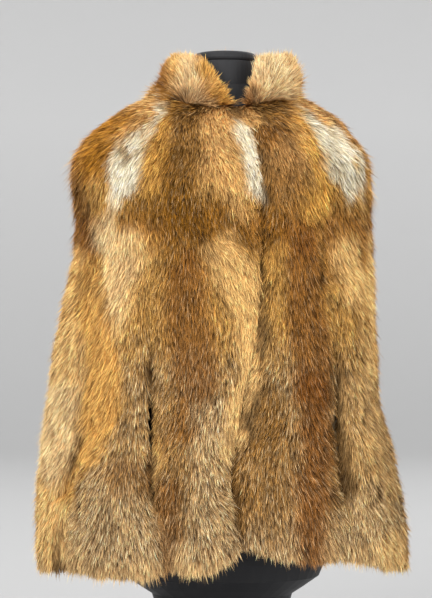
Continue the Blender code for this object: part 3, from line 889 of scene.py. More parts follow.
# %% Markings of the sides and the back
# The stops here are an angle in degrees, a height in millimetres and half a width in
# millimetres.
SIDE_MARKS = (
    ("rust", 0.70, 26, ((96, 930, 14), (97, 700, 18), (95, 420, 16), (94, 230, 12))),
    ("rust", 0.75, 26, ((131, 950, 14), (132, 760, 22), (129, 480, 18), (130, 220, 14))),
    ("rust", 0.75, 26, ((170, 960, 16), (169, 760, 24), (171, 470, 18), (168, 215, 14))),
    ("rust", 0.75, 26, ((208, 960, 16), (209, 740, 24), (206, 470, 18), (208, 215, 14))),
    ("rust", 0.75, 26, ((247, 950, 14), (246, 760, 22), (249, 480, 18), (247, 220, 14))),
    ("rust", 0.70, 26, ((280, 930, 12), (284, 700, 18), (289, 420, 16), (288, 230, 12))),
    ("umber", 0.70, 22, ((100, 812, 22), (131, 786, 26), (168, 772, 30))),
    ("umber", 0.70, 22, ((206, 776, 30), (246, 790, 26), (272, 806, 22))),
    ("gold", 0.70, 18, ((112, 930, 12), (113, 800, 16))),
    ("gold", 0.70, 18, ((143, 940, 10), (142, 820, 14))),
    ("gold", 0.70, 18, ((180, 950, 10), (180, 800, 14))),
    ("gold", 0.70, 18, ((198, 950, 10), (198, 800, 14))),
    ("gold", 0.70, 18, ((236, 940, 10), (237, 820, 14))),
    ("gold", 0.70, 18, ((268, 930, 12), (267, 800, 16))),
    ("pale", 0.80, 24, ((113, 720, 16), (112, 640, 22), (113, 570, 12))),
    ("pale", 0.80, 24, ((150, 700, 16), (150, 620, 24), (149, 560, 12))),
    ("pale", 0.80, 24, ((189, 710, 18), (188, 630, 24), (189, 545, 12))),
    ("pale", 0.80, 24, ((227, 700, 16), (228, 620, 22), (228, 550, 12))),
    ("pale", 0.80, 24, ((265, 715, 16), (266, 640, 20), (267, 580, 10))),
    ("orange", 0.80, 16, ((158, 520, 10), (156, 430, 16), (160, 330, 8))),
    ("orange", 0.80, 16, ((234, 560, 8), (238, 450, 16), (236, 350, 10))),
    ("orange", 0.70, 14, ((104, 470, 8), (107, 380, 12), (104, 300, 6))),
    ("ash", 0.60, 40, ((120, 330, 40), (140, 290, 40))),
    ("ash", 0.60, 40, ((214, 320, 40), (252, 300, 40))),
    ("white", 1.00, 6, ((151, 962, 5), (151, 900, 10), (150, 852, 20), (151, 806, 9))),
    ("white", 1.00, 6, ((189, 972, 5), (189, 890, 10), (188, 846, 20), (190, 796, 8))),
    ("white", 1.00, 6, ((227, 962, 5), (227, 896, 10), (228, 848, 20), (227, 804, 9))),
)
MM_PER_DEGREE = 4.2

# The ground colour at heights in millimetres, from the neck to the hem
GROUND = (
    (1100, "copper"),
    (880, "copper"),
    (800, "fox"),
    (760, "tawny"),
    (700, "fox"),
    (600, "fox"),
    (520, "silver"),
    (330, "silver"),
    (262, "ash"),
    (232, "fringe"),
    (150, "fringe"),
)

print("marks:", len(FRONT_MARKS), "in front and", len(SIDE_MARKS), "behind")

# %% Tone at any point
# Ripples are a strength, a size in metres and a seed. The ragged ones move places by
# metres, the feather's are in millimetres, and the shade's are shares of the brightness.
RAGGED_ACROSS = ((0.006, 0.035, 3),)
RAGGED_UP = ((0.016, 0.060, 4), (0.008, 0.020, 5))
FEATHER_STREAKS = ((6.0, 0.026, 6),)
SHADE_RIPPLES = ((0.11, 0.050, 7), (0.12, 0.017, 9))
SHADE_STREAKS = ((0.17, 0.024, 8),)
STREAK_STRETCH = 0.28
COLOUR_FADE = (78, 94)  # degrees from the front where one chart's marks give way
MARK_INSIDE = 0.35  # a mark's edge starts this share of its softness inside its line
MARK_OUTSIDE = 1.15  # and ends this share of it outside


def streaks(points, rows):
    """Ripples drawn out into stripes that run down the cape."""
    return rippled(points * np.array([1.0, 1.0, STREAK_STRETCH]), rows)


def laid_over(tones, places, marks, share, feather=0.0):
    """Tones with markings painted over them, as strongly as the marks and share say."""
    for name, strength, soft, line in marks:
        away = past_line(places, line) + feather
        weight = 1 - smooth_step(-MARK_INSIDE * soft, MARK_OUTSIDE * soft, away)
        weight = (weight * strength * share)[..., None]
        tones = tones * (1 - weight) + tone_values(name) * weight
    return tones


def cape_tones(points, angle):
    heights = [height for height, _ in GROUND][::-1]
    values = np.array([tone_values(name) for _, name in GROUND][::-1])
    ragged = points.copy()
    ragged[..., 0] += rippled(points, RAGGED_ACROSS)
    ragged[..., 2] += rippled(points, RAGGED_UP)
    up = ragged[..., 2] * 1000
    tones = np.stack([np.interp(up, heights, column) for column in values.T], -1)
    front = from_front(angle, COLOUR_FADE)
    side = np.stack([angle % 360.0 * MM_PER_DEGREE, up], -1)
    scaled = [
        (name, strength, soft, [(a * MM_PER_DEGREE, z, half) for a, z, half in line])
        for name, strength, soft, line in SIDE_MARKS
    ]
    feather = streaks(points, FEATHER_STREAKS)
    tones = laid_over(tones, side, scaled, 1 - front, feather)
    tones = laid_over(tones, front_chart(ragged), FRONT_MARKS, front, feather)
    shade = 1 + rippled(points, SHADE_RIPPLES) + streaks(points, SHADE_STREAKS)
    tones[..., COLOURS] *= shade[..., None]
    return tones

# %% [markdown]
# ## The bed of the long hairs
#
# The long hairs grow out of the underfur. Their bed is a sheet on the outer side of the
# wall that turns under at the hem, and every point of it says how hairs grow there: which
# way they are combed, how steeply they rise, how long they are and which tone they have.
#
# On the real cape they are combed down and a little away from each pelt's middle, and
# they part, lean over and swirl in places. Those places are in a short table on the chart.

# %% How the hairs lie
# Across, up, lean in degrees towards the wearer's left, and how far it reaches
LEANS = (
    (-78, 594, 14, 43),
    (26, 657, 24, 43),
    (30, 750, 26, 30),
    (87, 694, -18, 26),
    (82, 611, -10, 26),
    (-160, 697, -14, 43),
    (-251, 644, -12, 36),
    (205, 697, 24, 30),
    (-185, 928, -16, 50),
    (185, 928, 28, 43),
    (10, 888, 24, 30),
    (-168, 842, -10, 36),
    (-7, 746, 40, 26),
    (-191, 396, -20, 43),
    (-16, 387, 30, 33),
    (-3, 327, 55, 20),
    (89, 430, -22, 36),
    (191, 396, -16, 20),
    (238, 644, 6, 33),
    (-267, 380, -8, 40),
    (30, 215, 8, 33),
    (-69, 240, -8, 26),
    (116, 892, 6, 33),
)
# Across, up, how far it reaches, extra rise in degrees and how many times longer
TUFTS = (
    (-249, 809, 13, 26, 1.25),
    (188, 960, 13, 18, 1.30),
    (-182, 950, 36, -4, 0.95),
    (-264, 657, 13, 8, 1.10),
    (210, 930, 30, -4, 0.90),
    (300, 240, 24, -3, 0.90),
    (-307, 248, 16, 6, 1.10),
    (-86, 967, 13, 14, 1.10),
)
LEAN_RIPPLES = ((9, 0.11, 21), (8, 0.036, 24))  # degrees
RISE_RIPPLES = ((5, 0.050, 22),)  # degrees
LENGTH_RIPPLES = ((0.10, 0.045, 23),)  # shares of the length
FAN = 11.0  # degrees of lean at a pelt's two sides, away from its middle
BODY_RISE = 22.0  # degrees that the hairs stand up from the wall
HEM_RISE = 9.0  # the same at the hem
HEM_LEAN = 0.4  # how much of the lean is left there
HEM_REACH = 0.06  # metres above the hem over which both change
LOW_LENGTH = 0.96  # times the coat's length
CHEST_LONGER = 0.22  # added to that
CHEST_CLIMB = (0.62, 0.86)  # between these heights in metres
SHOULDER_TOP = 0.955  # height in metres where the hairs lie flattest
SHOULDER_REACH = 0.035
SHOULDER_FLATTER = 15  # degrees
SHOULDER_SHORTER = 0.32
NECK_RISE = 36.0  # how much more the hairs stand up at the neck seam
NECK_REACH = 0.5  # levels from the seam over which they do
OPENING_LEAN = -0.3  # degrees beside an opening, so that the hairs run along it
OPENING_SHORT = 0.15  # how much shorter they are there
TIP_AHEAD = 0.0175  # metres from a hair's root to the middle of what shows of it
# Rows of the bed that turn under at the hem: their share of the way to the inner side, and
# how far they drop in metres
HEM_RIMS = ((0.5, 0.003), (0.9, 0.001))
RIM_DOWN = 0.4
RIM_RISE = 0.5
RIM_SHORTER = 0.25


def near(places, across, up, reach):
    """From 1 at a place on a chart to 0 some way from it."""
    away = np.linalg.norm(places - np.array([across, up]), axis=-1)
    return np.exp(-((away / reach) ** 2))


def combed(points, angle, shares):
    """Lean, rise and length of the hairs at points of the cape."""
    places = front_chart(points)
    in_front = from_front(angle, CHART_FADE)
    lean = FAN * (2 * shares - 1) + rippled(points, LEAN_RIPPLES)
    rise = BODY_RISE + rippled(points, RISE_RIPPLES)
    length = LOW_LENGTH + CHEST_LONGER * smooth_step(*CHEST_CLIMB, points[..., 2])
    length = length * (1 + rippled(points, LENGTH_RIPPLES))
    flat = np.exp(-(((points[..., 2] - SHOULDER_TOP) / SHOULDER_REACH) ** 2))
    rise = rise - SHOULDER_FLATTER * flat
    length = length * (1 - SHOULDER_SHORTER * flat)
    for across, up, degrees, reach in LEANS:
        weight = near(places, across, up, reach) * in_front
        lean = lean * (1 - weight) + degrees * weight
    for across, up, reach, extra, longer in TUFTS:
        weight = near(places, across, up, reach) * in_front
        rise = rise + extra * weight
        length = length * (1 + (longer - 1) * weight)
    return lean, rise, length


def grid_normals(points, outwards):
    """Normals of a grid's points, turned to the side that outwards has."""
    down, across = np.gradient(points, axis=0), np.gradient(points, axis=1)
    normal = unit(np.cross(down, across))
    flip = np.sign((normal * outwards).sum(-1, keepdims=True))
    return normal * np.where(flip == 0, 1, flip), unit(down), across


def pelt_bed(name, outer, inner, known):
    angle = known["angle"]
    shares = np.broadcast_to(np.linspace(0, 1, angle.shape[1]), angle.shape)
    away = unit(outer - inner)
    normal, down, across = grid_normals(outer, away)
    side = unit(across - (across * down).sum(-1, keepdims=True) * down)
    lean, rise, length = combed(outer, angle, shares)
    for sign, share in known["openings"]:
        lean = lean * (1 - share) + sign * OPENING_LEAN * share
        length = length * (1 - OPENING_SHORT * share)
    rise = rise + NECK_RISE * (1 - smooth_step(0.0, NECK_REACH, known["level"]))
    to_hem = smooth_step(0.0, HEM_REACH, outer[..., 2] - outer[-1:, :, 2])
    rise = HEM_RISE + (rise - HEM_RISE) * to_hem
    lean = lean * (HEM_LEAN + (1 - HEM_LEAN) * to_hem)
    turned = np.radians(lean)[..., None]
    comb = np.cos(turned) * down + np.sin(turned) * side
    tones = cape_tones(outer + TIP_AHEAD * length[..., None] * comb, angle)
    under = {
        "place": [outer], "up": [normal], "comb": [comb], "rise": [rise],
        "reach": [length], "tones": [tones],
    }
    for share, drop in HEM_RIMS:
        rim = outer[-1:] + (inner[-1:] - outer[-1:]) * share - np.array([0, 0, drop])
        under["place"].append(rim)
        under["up"].append(unit(normal[-1:] + np.array([0, 0, -RIM_DOWN])))
        under["comb"].append(np.broadcast_to(np.array([0.0, 0, -1]), rim.shape))
        under["rise"].append(rise[-1:] * RIM_RISE)
        under["reach"].append(length[-1:] * (1.0 - RIM_SHORTER * share))
        under["tones"].append(tones[-1:])
    return bed_object(name, {key: np.concatenate(rows) for key, rows in under.items()})


def bed_object(name, grown):
    rows, columns = grown["rise"].shape
    number = np.arange(rows * columns).reshape(rows, columns)
    cells = np.stack(
        [number[:-1, :-1], number[1:, :-1], number[1:, 1:], number[:-1, 1:]], -1
    )
    made = mesh_object(name, grown["place"].reshape(-1, 3), cells.reshape(-1, 4).tolist())
    store(made.data, "up", grown["up"].reshape(-1, 3))
    store(made.data, "comb", grown["comb"].reshape(-1, 3))
    store(made.data, "rise", np.radians(grown["rise"]).ravel())
    store(made.data, "reach", grown["reach"].ravel())
    tones = grown["tones"].reshape(-1, TONE_PARTS)
    store(made.data, "tip_tone", tones[:, TIP])
    store(made.data, "root_tone", tones[:, ROOT])
    store(made.data, "grizzle", tones[:, GRIZZLE])
    return made

# %% [markdown]
# ## One hair
#
# At this scale one piece of geometry stands for a few hairs that taper together. It could be
# a curve with a bevel, but hundreds of thousands of those would be far too heavy. One
# long triangle is the lightest shape with a root and a tip. Its points know how far along
# the hair they are, for the colour from root to tip.

# %% The hair
HAIR_POINTS = ((-0.5, 0.0, 0.0), (0.5, 0.0, 0.0), (0.0, 1.0, 0.0))
# Where they lie in the hair's own cell of a baked picture
HAIR_CORNERS = np.array(((0.12, 0.1), (0.88, 0.1), (0.5, 0.92)))

hair = mesh_object("one_hair", np.array(HAIR_POINTS), [(0, 1, 2)])
store(hair.data, "along", [y for _, y, _ in HAIR_POINTS])

# %% [markdown]
# ## A tree that grows a coat
#
# Geometry Nodes scatter points over the bed, turn a hair on each one the way the bed says,
# with some disorder, and join them all into one mesh. Disorder has two scales: each hair
# strays a little by itself, and neighbouring hairs lean together in locks. A few hairs are
# wisps, much longer than the rest. Blender's own hair curves could be combed by hand, but
# they have to become a mesh in the end, and this tree makes a light one directly.

# %% Geometry Nodes tree
COAT_INPUTS = (
    ("Bed", "NodeSocketGeometry"),
    ("Hair", "NodeSocketObject"),
    ("Hairs per square metre", "NodeSocketFloat"),
    ("Hair length", "NodeSocketFloat"),
    ("Hair width", "NodeSocketFloat"),
    ("Stray", "NodeSocketFloat"),
    ("Lock size", "NodeSocketFloat"),
    ("Lock lean", "NodeSocketFloat"),
    ("Seed", "NodeSocketInt"),
    ("Fur material", "NodeSocketMaterial"),
)
# What is added to a coat's seed for each thing that is drawn by chance
STRAY_SEED = 11.0
ROLL_SEED = 12.0
LENGTH_SEED = 13.0
WIDTH_SEED = 14.0
LUCK_SEED = 15.0
WISP_SEED = 16.0
ROLL = 0.6  # radians that a hair may turn about its own length
LENGTHS = (0.72, 1.12)
WIDTHS = (0.7, 1.3)
WISP_POWER = 9.0  # the higher, the fewer hairs are wisps
WISP_LONGER = 0.55
LOCK_DETAIL = 1.5
STRAND_DETAIL = 2.0
STRAND_STRETCH = (2.2, 2.2, 0.75)


def named(tree, name, kind="FLOAT"):
    return result(
        add_node(tree, "GeometryNodeInputNamedAttribute", {"Name": name}, data_type=kind)
    )


def maths(tree, operation, first, second=0.0):
    return result(add_node(tree, "ShaderNodeMath", {0: first, 1: second}, operation=operation))


def vectors(tree, operation, first, second):
    return result(
        add_node(tree, "ShaderNodeVectorMath", {0: first, 1: second}, operation=operation)
    )


def scaled_vector(tree, vector, amount):
    made = add_node(tree, "ShaderNodeVectorMath", {0: vector}, operation="SCALE")
    if isinstance(amount, bpy.types.NodeSocket):
        tree.links.new(amount, made.inputs["Scale"])
    else:
        made.inputs["Scale"].default_value = amount
    return result(made)


def chance(tree, seed, low, high, kind="FLOAT"):
    made = add_node(
        tree, "FunctionNodeRandomValue", {"Min": low, "Max": high, "Seed": seed}, data_type=kind
    )
    return result(made)


def build_coat_tree():
    tree = bpy.data.node_groups.new("grow a coat", "GeometryNodeTree")
    for name, kind in COAT_INPUTS:
        tree.interface.new_socket(name=name, in_out="INPUT", socket_type=kind)
    tree.interface.new_socket(name="Coat", in_out="OUTPUT", socket_type="NodeSocketGeometry")
    given = add_node(tree, "NodeGroupInput").outputs
    seed = given["Seed"]

    def drawn(offset, low, high, kind="FLOAT"):
        return chance(tree, maths(tree, "ADD", seed, offset), low, high, kind)

    scattered = add_node(
        tree,
        "GeometryNodeDistributePointsOnFaces",
        {"Mesh": given["Bed"], "Density": given["Hairs per square metre"], "Seed": seed},
        distribute_method="RANDOM",
    ).outputs["Points"]

    place = result(add_node(tree, "GeometryNodeInputPosition"))
    size = maths(tree, "DIVIDE", 1.0, given["Lock size"])
    noise = add_node(
        tree, "ShaderNodeTexNoise", {"Vector": place, "Scale": size, "Detail": LOCK_DETAIL}
    )
    centred = vectors(tree, "SUBTRACT", noise.outputs["Color"], (0.5, 0.5, 0.5))
    lock = scaled_vector(tree, centred, given["Lock lean"])
    drawn_out = vectors(tree, "MULTIPLY", place, STRAND_STRETCH)
    strand = add_node(
        tree, "ShaderNodeTexNoise", {"Vector": drawn_out, "Scale": size, "Detail": STRAND_DETAIL}
    )
    loose = drawn(STRAY_SEED, (-1.0, -1.0, -1.0), (1.0, 1.0, 1.0), "FLOAT_VECTOR")
    loose = scaled_vector(tree, loose, given["Stray"])

    rise = named(tree, "rise")
    up = named(tree, "up", "FLOAT_VECTOR")
    lying = scaled_vector(tree, named(tree, "comb", "FLOAT_VECTOR"), maths(tree, "COSINE", rise))
    raised = scaled_vector(tree, up, maths(tree, "SINE", rise))
    direction = vectors(tree, "ADD", lying, raised)
    direction = vectors(tree, "ADD", direction, vectors(tree, "ADD", lock, loose))
    pointed = result(
        add_node(tree, "FunctionNodeAlignRotationToVector", {"Vector": direction}, axis="Y")
    )
    faced = result(
        add_node(
            tree,
            "FunctionNodeAlignRotationToVector",
            {"Rotation": pointed, "Vector": up},
            axis="Z",
            pivot_axis="Y",
        )
    )
    roll = result(
        add_node(
            tree,
            "FunctionNodeAxisAngleToRotation",
            {"Axis": (0.0, 1.0, 0.0), "Angle": drawn(ROLL_SEED, -ROLL, ROLL)},
        )
    )
    rolled = result(
        add_node(
            tree,
            "FunctionNodeRotateRotation",
            {"Rotation": faced, "Rotate By": roll},
            rotation_space="LOCAL",
        )
    )

    uneven = drawn(LENGTH_SEED, *LENGTHS)
    long = maths(tree, "MULTIPLY", given["Hair length"], named(tree, "reach"))
    long = maths(tree, "MULTIPLY", long, uneven)
    wisp = maths(tree, "POWER", drawn(WISP_SEED, 0.0, 1.0), WISP_POWER)
    wisp = maths(tree, "ADD", 1.0, maths(tree, "MULTIPLY", wisp, WISP_LONGER))
    long = maths(tree, "MULTIPLY", long, wisp)
    wide = maths(tree, "MULTIPLY", given["Hair width"], drawn(WIDTH_SEED, *WIDTHS))
    sizes = result(add_node(tree, "ShaderNodeCombineXYZ", {"X": wide, "Y": long, "Z": long}))

    luck = drawn(LUCK_SEED, 0.0, 1.0)
    kept = add_node(
        tree,
        "GeometryNodeStoreNamedAttribute",
        {"Geometry": scattered, "Name": "luck", "Value": luck},
        data_type="FLOAT",
        domain="POINT",
    )
    kept = add_node(
        tree,
        "GeometryNodeStoreNamedAttribute",
        {"Geometry": result(kept), "Name": "lock", "Value": strand.outputs["Fac"]},
        data_type="FLOAT",
        domain="POINT",
    )
    one = add_node(tree, "GeometryNodeObjectInfo", {"Object": given["Hair"]})
    planted = add_node(
        tree,
        "GeometryNodeInstanceOnPoints",
        {
            "Points": result(kept),
            "Instance": one.outputs["Geometry"],
            "Rotation": rolled,
            "Scale": sizes,
        },
    )
    real = add_node(tree, "GeometryNodeRealizeInstances", {"Geometry": result(planted)})
    dyed = add_node(
        tree,
        "GeometryNodeSetMaterial",
        {"Geometry": result(real), "Material": given["Fur material"]},
    )
    add_node(tree, "NodeGroupOutput", {"Coat": result(dyed)})
    return tree


coat_tree = build_coat_tree()
print("nodes in the tree:", len(coat_tree.nodes))

# %% Growing a coat on a bed
def grow(bed, name, material, **sizes):
    """The coat as a plain mesh, with a small cell of its own for each hair to be baked in."""
    modifier = bed.modifiers.new("coat", "NODES")
    modifier.node_group = coat_tree
    given = {
        "Hair": hair,
        "Hairs per square metre": sizes["density"],
        "Hair length": sizes["length"],
        "Hair width": sizes["width"],
        "Stray": sizes["stray"],
        "Lock size": sizes["lock_size"],
        "Lock lean": sizes["lock_lean"],
        "Seed": sizes["seed"],
        "Fur material": material,
    }
    for socket in coat_tree.interface.items_tree:
        if socket.in_out == "INPUT" and socket.name in given:
            modifier[socket.identifier] = given[socket.name]
    depsgraph = bpy.context.evaluated_depsgraph_get()
    data = bpy.data.meshes.new_from_object(
        bed.evaluated_get(depsgraph), preserve_all_data_layers=True, depsgraph=depsgraph
    )
    bpy.data.objects.remove(bed)
    for spare in ("up", "comb", "rise", "reach"):
        if spare in data.attributes:
            data.attributes.remove(data.attributes[spare])
    while data.uv_layers:
        data.uv_layers.remove(data.uv_layers[0])
    data.name = name
    made = bpy.data.objects.new(name, data)
    bpy.context.scene.collection.objects.link(made)

    corners = np.zeros(len(data.loops), np.int32)
    data.loops.foreach_get("vertex_index", corners)
    hairs, points = len(data.polygons), corners % 3
    side = int(np.ceil(np.sqrt(hairs)))
    cell = np.stack([corners // 3 % side, corners // 3 // side], -1)
    layer = data.uv_layers.new(name="OFBake")
    layer.data.foreach_set("uv", ((cell + HAIR_CORNERS[points]) / side).ravel().astype(np.float32))
    layer.active_render = True
    data.shade_smooth()
    return made, hairs

# %% [markdown]
# ## The fur's materials
#
# A hair's colour runs from its root to its tip. Where the coat is grizzled, some hairs are
# nearly black and some nearly cream. Each hair is also a little lighter or darker by
# chance, and so is each lock, which is what makes fur look like strands.

# %% Fur material
def mixed(tree, share, first, second):
    made = add_node(
        tree,
        "ShaderNodeMix",
        {"Factor": share, "A": first, "B": second},
        data_type="RGBA",
    )
    return result(made)


def ranged(tree, value, low, high, first, last):
    sockets = {"Value": value, "From Min": low, "From Max": high, "To Min": first, "To Max": last}
    return result(add_node(tree, "ShaderNodeMapRange", sockets))


def attribute(tree, name, output="Fac"):
    made = tree.nodes.new("ShaderNodeAttribute")
    made.attribute_name = name
    return made.outputs[output]


DARK_HAIR = from_screen(62, 42, 26)
PALE_HAIR = from_screen(248, 224, 180)

ROOT_TO_TIP = (0.42, 0.97)  # part of a hair's length over which its colour changes
ODD_HAIRS = 0.24  # the share of dark hairs, and of pale ones, where the grizzle is 1
DARKENING = 0.72
# Each range is a value's limits and what is made of them
PALE_ALONG = (0.2, 0.8, 0.1, 0.62)
PALE_BY_GRIZZLE = (0.3, 1.0, 0.1, 0.8)
HAIR_SKEW = 2.2  # the higher, the fewer hairs are bright
HAIR_BRIGHTNESS = (0.0, 1.0, 0.70, 1.56)
LOCK_BRIGHTNESS = (0.32, 0.68, 0.60, 1.38)
GRIZZLE_CONTRAST = 0.55
BRIGHTEST = 0.94

fur_material, fur_shader = new_material("fox fur", roughness=0.68, specular=0.10)
tree = fur_material.node_tree
along = attribute(tree, "along")
luck = attribute(tree, "luck")
grizzle = attribute(tree, "grizzle")
colour = mixed(
    tree,
    ranged(tree, along, *ROOT_TO_TIP, 0.0, 1.0),
    attribute(tree, "root_tone", "Color"),
    attribute(tree, "tip_tone", "Color"),
)
odd_share = maths(tree, "MULTIPLY", grizzle, ODD_HAIRS)
is_dark = maths(tree, "LESS_THAN", luck, odd_share)
colour = mixed(tree, maths(tree, "MULTIPLY", is_dark, DARKENING), colour, rgba(DARK_HAIR))
is_pale = maths(tree, "GREATER_THAN", luck, maths(tree, "SUBTRACT", 1.0, odd_share))
pale_tip = maths(tree, "MULTIPLY", is_pale, ranged(tree, along, *PALE_ALONG))
pale = mixed(
    tree,
    ranged(tree, grizzle, *PALE_BY_GRIZZLE),
    attribute(tree, "tip_tone", "Color"),
    rgba(PALE_HAIR),
)
colour = mixed(tree, pale_tip, colour, pale)
white_noise = result(
    add_node(tree, "ShaderNodeTexWhiteNoise", {"W": luck}, noise_dimensions="1D")
)
brightness = maths(
    tree,
    "MULTIPLY",
    ranged(tree, maths(tree, "POWER", white_noise, HAIR_SKEW), *HAIR_BRIGHTNESS),
    ranged(tree, attribute(tree, "lock"), *LOCK_BRIGHTNESS),
)
contrast = maths(tree, "ADD", 1.0, maths(tree, "MULTIPLY", grizzle, GRIZZLE_CONTRAST))
brightness = maths(tree, "POWER", brightness, contrast)
grey = result(add_node(tree, "ShaderNodeCombineXYZ", dict.fromkeys("XYZ", brightness)))
colour = vectors(tree, "MULTIPLY", colour, grey)
colour = vectors(tree, "MINIMUM", colour, (BRIGHTEST,) * 3)
tree.links.new(colour, fur_shader.inputs["Base Color"])
print("nodes in the fur's material:", len(tree.nodes))

# %% [markdown]
# ## The skin and the underfur
#
# A tanned fox skin is pale suede inside, and outside it carries short, dense wool. One
# material does for both, because each point of a wall knows which side it is on. The wool
# could be hairs too, but it only shows as a dark soft ground between the long hairs, so
# noise in its colour and a little bump are enough.

# %% Skin and underfur material
skin_material, skin_shader = new_material(
    "skin and underfur", roughness=0.9, specular=0.15, sheen=0.15
)
tree = skin_material.node_tree
coords = add_node(tree, "ShaderNodeTexCoord").outputs["Object"]
fluff = add_node(tree, "ShaderNodeTexNoise", {"Vector": coords, "Scale": 900.0, "Detail": 2.0})
patches = add_node(tree, "ShaderNodeTexNoise", {"Vector": coords, "Scale": 22.0, "Detail": 3.0})
suede = mixed(
    tree, patches.outputs["Fac"], rgba(from_screen(206, 184, 150)), rgba(from_screen(228, 212, 184))
)
underfur = mixed(
    tree, fluff.outputs["Fac"], rgba((0.0, 0.0, 0.0)), attribute(tree, "under", "Color")
)
colour = mixed(tree, attribute(tree, "skin"), underfur, suede)
tree.links.new(colour, skin_shader.inputs["Base Color"])
bump = add_node(tree, "ShaderNodeBump", {"Height": fluff.outputs["Fac"], "Strength": 0.5})
bump.inputs["Distance"].default_value = 0.001
tree.links.new(bump.outputs["Normal"], skin_shader.inputs["Normal"])

# %% [markdown]
# ## The ten pelts
#
# Every pelt gets its wall and its coat. Both stand for the pelt's solid.

# %% Pelts
WALL_SKIP = 2  # the wall has every second row and column of its grids
UNDERFUR_SHADE = 0.55  # times the colour of the hairs' roots
BODY_SEED = 100
BODY_COAT = {
    "density": 690000,
    "length": 0.0255,
    "width": 0.0021,
    "stray": 0.16,
    "lock_size": 0.0068,
    "lock_lean": 0.85,
}


def clothe(name, outer, inner, bed, slot, flat, tones, **sizes):
    """A wall and its coat in place of a solid. Returns its hairs."""
    kept = np.ix_(*(np.unique(np.r_[0:size:WALL_SKIP, size - 1]) for size in outer.shape[:2]))
    wall = closed_wall(name + "_skin", outer[kept], inner[kept])
    tones = tones[kept].reshape(-1, TONE_PARTS)
    count = len(tones)
    store(wall.data, "under", np.tile(tones[:, ROOT] * UNDERFUR_SHADE, (2, 1)))
    store(wall.data, "skin", np.r_[np.zeros(count), np.ones(count)])
    wall.data.materials.append(skin_material)
    coat, hairs = grow(bed, name + "_fur", fur_material, **sizes)
    for piece in (wall, coat):
        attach(piece, "root")
        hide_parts(name)
    return hairs


hairs_in_all = 0
for index, name in enumerate(PELTS):
    outer, inner, known = pelt_grids(index)
    hairs_in_all += clothe(
        name,
        outer,
        inner,
        pelt_bed(name + "_bed", outer, inner, known),
        "body_fur",
        (known["width"], known["length"]),
        cape_tones(outer, known["angle"]),
        seed=BODY_SEED + index,
        **BODY_COAT,
    )

# %% [markdown]
# ## The collar
#
# The collar is a band that stands up from the neck seam, in two halves, with fur on both
# sides. Its wall is rounded over at the top and at the front. The hairs hang down at its
# foot, where they hide the neck seam, fan out above, and stand up along the top.

# %% Collar tables
COLLAR_MARKS = (
    ("cream", 0.60, 16, ((-56, 1030, 10), (-48, 1000, 14), (-41, 977, 12))),
    ("cream", 0.85, 8, ((-50, 971, 7), (-16, 961, 7), (7, 946, 5))),
    ("gold", 0.80, 10, ((-26, 1024, 10), (-7, 997, 10), (10, 967, 8))),
    ("gold", 0.55, 10, ((-74, 1040, 8), (-86, 1012, 10))),
    ("umber", 0.90, 10, ((-100, 1010, 8), (-94, 988, 12), (-80, 974, 10))),
    ("rust", 0.75, 13, ((-92, 1026, 9), (-96, 1000, 10))),
    ("cream", 0.90, 20, ((69, 1030, 20), (89, 1010, 21), (79, 984, 20))),
    ("copper", 0.60, 10, ((125, 1027, 8), (132, 1000, 8), (139, 981, 8))),
    ("umber", 0.80, 10, ((73, 959, 10), (99, 959, 12), (125, 967, 10))),
    ("rust", 0.70, 10, ((135, 977, 8), (148, 967, 7))),
)
# Across, up, lean from straight up towards the wearer's left, and how far it reaches
COLLAR_LEANS = (
    (-106, 994, -75, 23),
    (-92, 1020, -35, 23),
    (-59, 1030, -8, 20),
    (-30, 1020, 28, 20),
    (-13, 994, 60, 20),
    (10, 964, 135, 20),
    (-30, 966, 124, 26),
    (-56, 974, 110, 20),
    (-53, 997, 20, 16),
    (-82, 974, -110, 20),
    (50, 1027, -25, 20),
    (46, 990, -50, 20),
    (79, 1027, 0, 23),
    (116, 1017, 25, 20),
    (134, 987, 70, 23),
    (73, 981, -15, 20),
    (109, 964, 110, 20),
    (76, 954, -40, 13),
    (43, 958, -120, 16),
)
COLLAR_ROUND_FROM = 2.6  # the place up the collar's table where the wall starts to round
COLLAR_FLAT_ROWS = 8
COLLAR_ROUND_ROWS = 6
COLLAR_LAST_TURN = 86  # degrees, short of 90, so that the top row isn't a line
COLLAR_THINNEST = 0.004
COLLAR_POINTS = 56
COLLAR_TOP = 3.42
COLLAR_HALF_DEPTH = 0.003
COLLAR_FUR = 0.0105  # how deep the wall lies in the fur on either side
FOOT_DIP = 0.025  # metres that the seam lies lower in front, and higher behind
FOOT_RUST = 0.6  # how much rust there is at the foot
FOOT_CLIMB = (0.010, 0.030)  # metres above the seam over which it goes
COLLAR_CREAM = 0.25  # how much cream there is in its sand colour
CREAM_RIPPLES = ((0.40, 0.030, 31),)
COLLAR_RAGGED_ACROSS = ((0.004, 0.020, 33),)
COLLAR_RAGGED_UP = ((0.004, 0.020, 34),)
COLLAR_COLOUR_FADE = (80, 110)
COLLAR_EDGE_BACK = 0.015
COLLAR_EDGE_ROUNDING = 0.012


def collar_tones(points, angle):
    cream = (COLLAR_CREAM + rippled(points, CREAM_RIPPLES))[..., None]
    tones = tone_values("sand") * (1 - cream) + tone_values("cream") * cream
    seam = HEM_HEIGHT + SECTION["height"][0] - FOOT_DIP * np.cos(np.radians(angle))
    low = FOOT_RUST * (1 - smooth_step(*FOOT_CLIMB, points[..., 2] - seam))[..., None]
    tones = tones * (1 - low) + tone_values("rust") * low
    ragged = points.copy()
    ragged[..., 0] += rippled(points, COLLAR_RAGGED_ACROSS)
    ragged[..., 2] += rippled(points, COLLAR_RAGGED_UP)
    front = from_front(angle, COLLAR_COLOUR_FADE)
    return laid_over(tones, front_chart(ragged), COLLAR_MARKS, front)


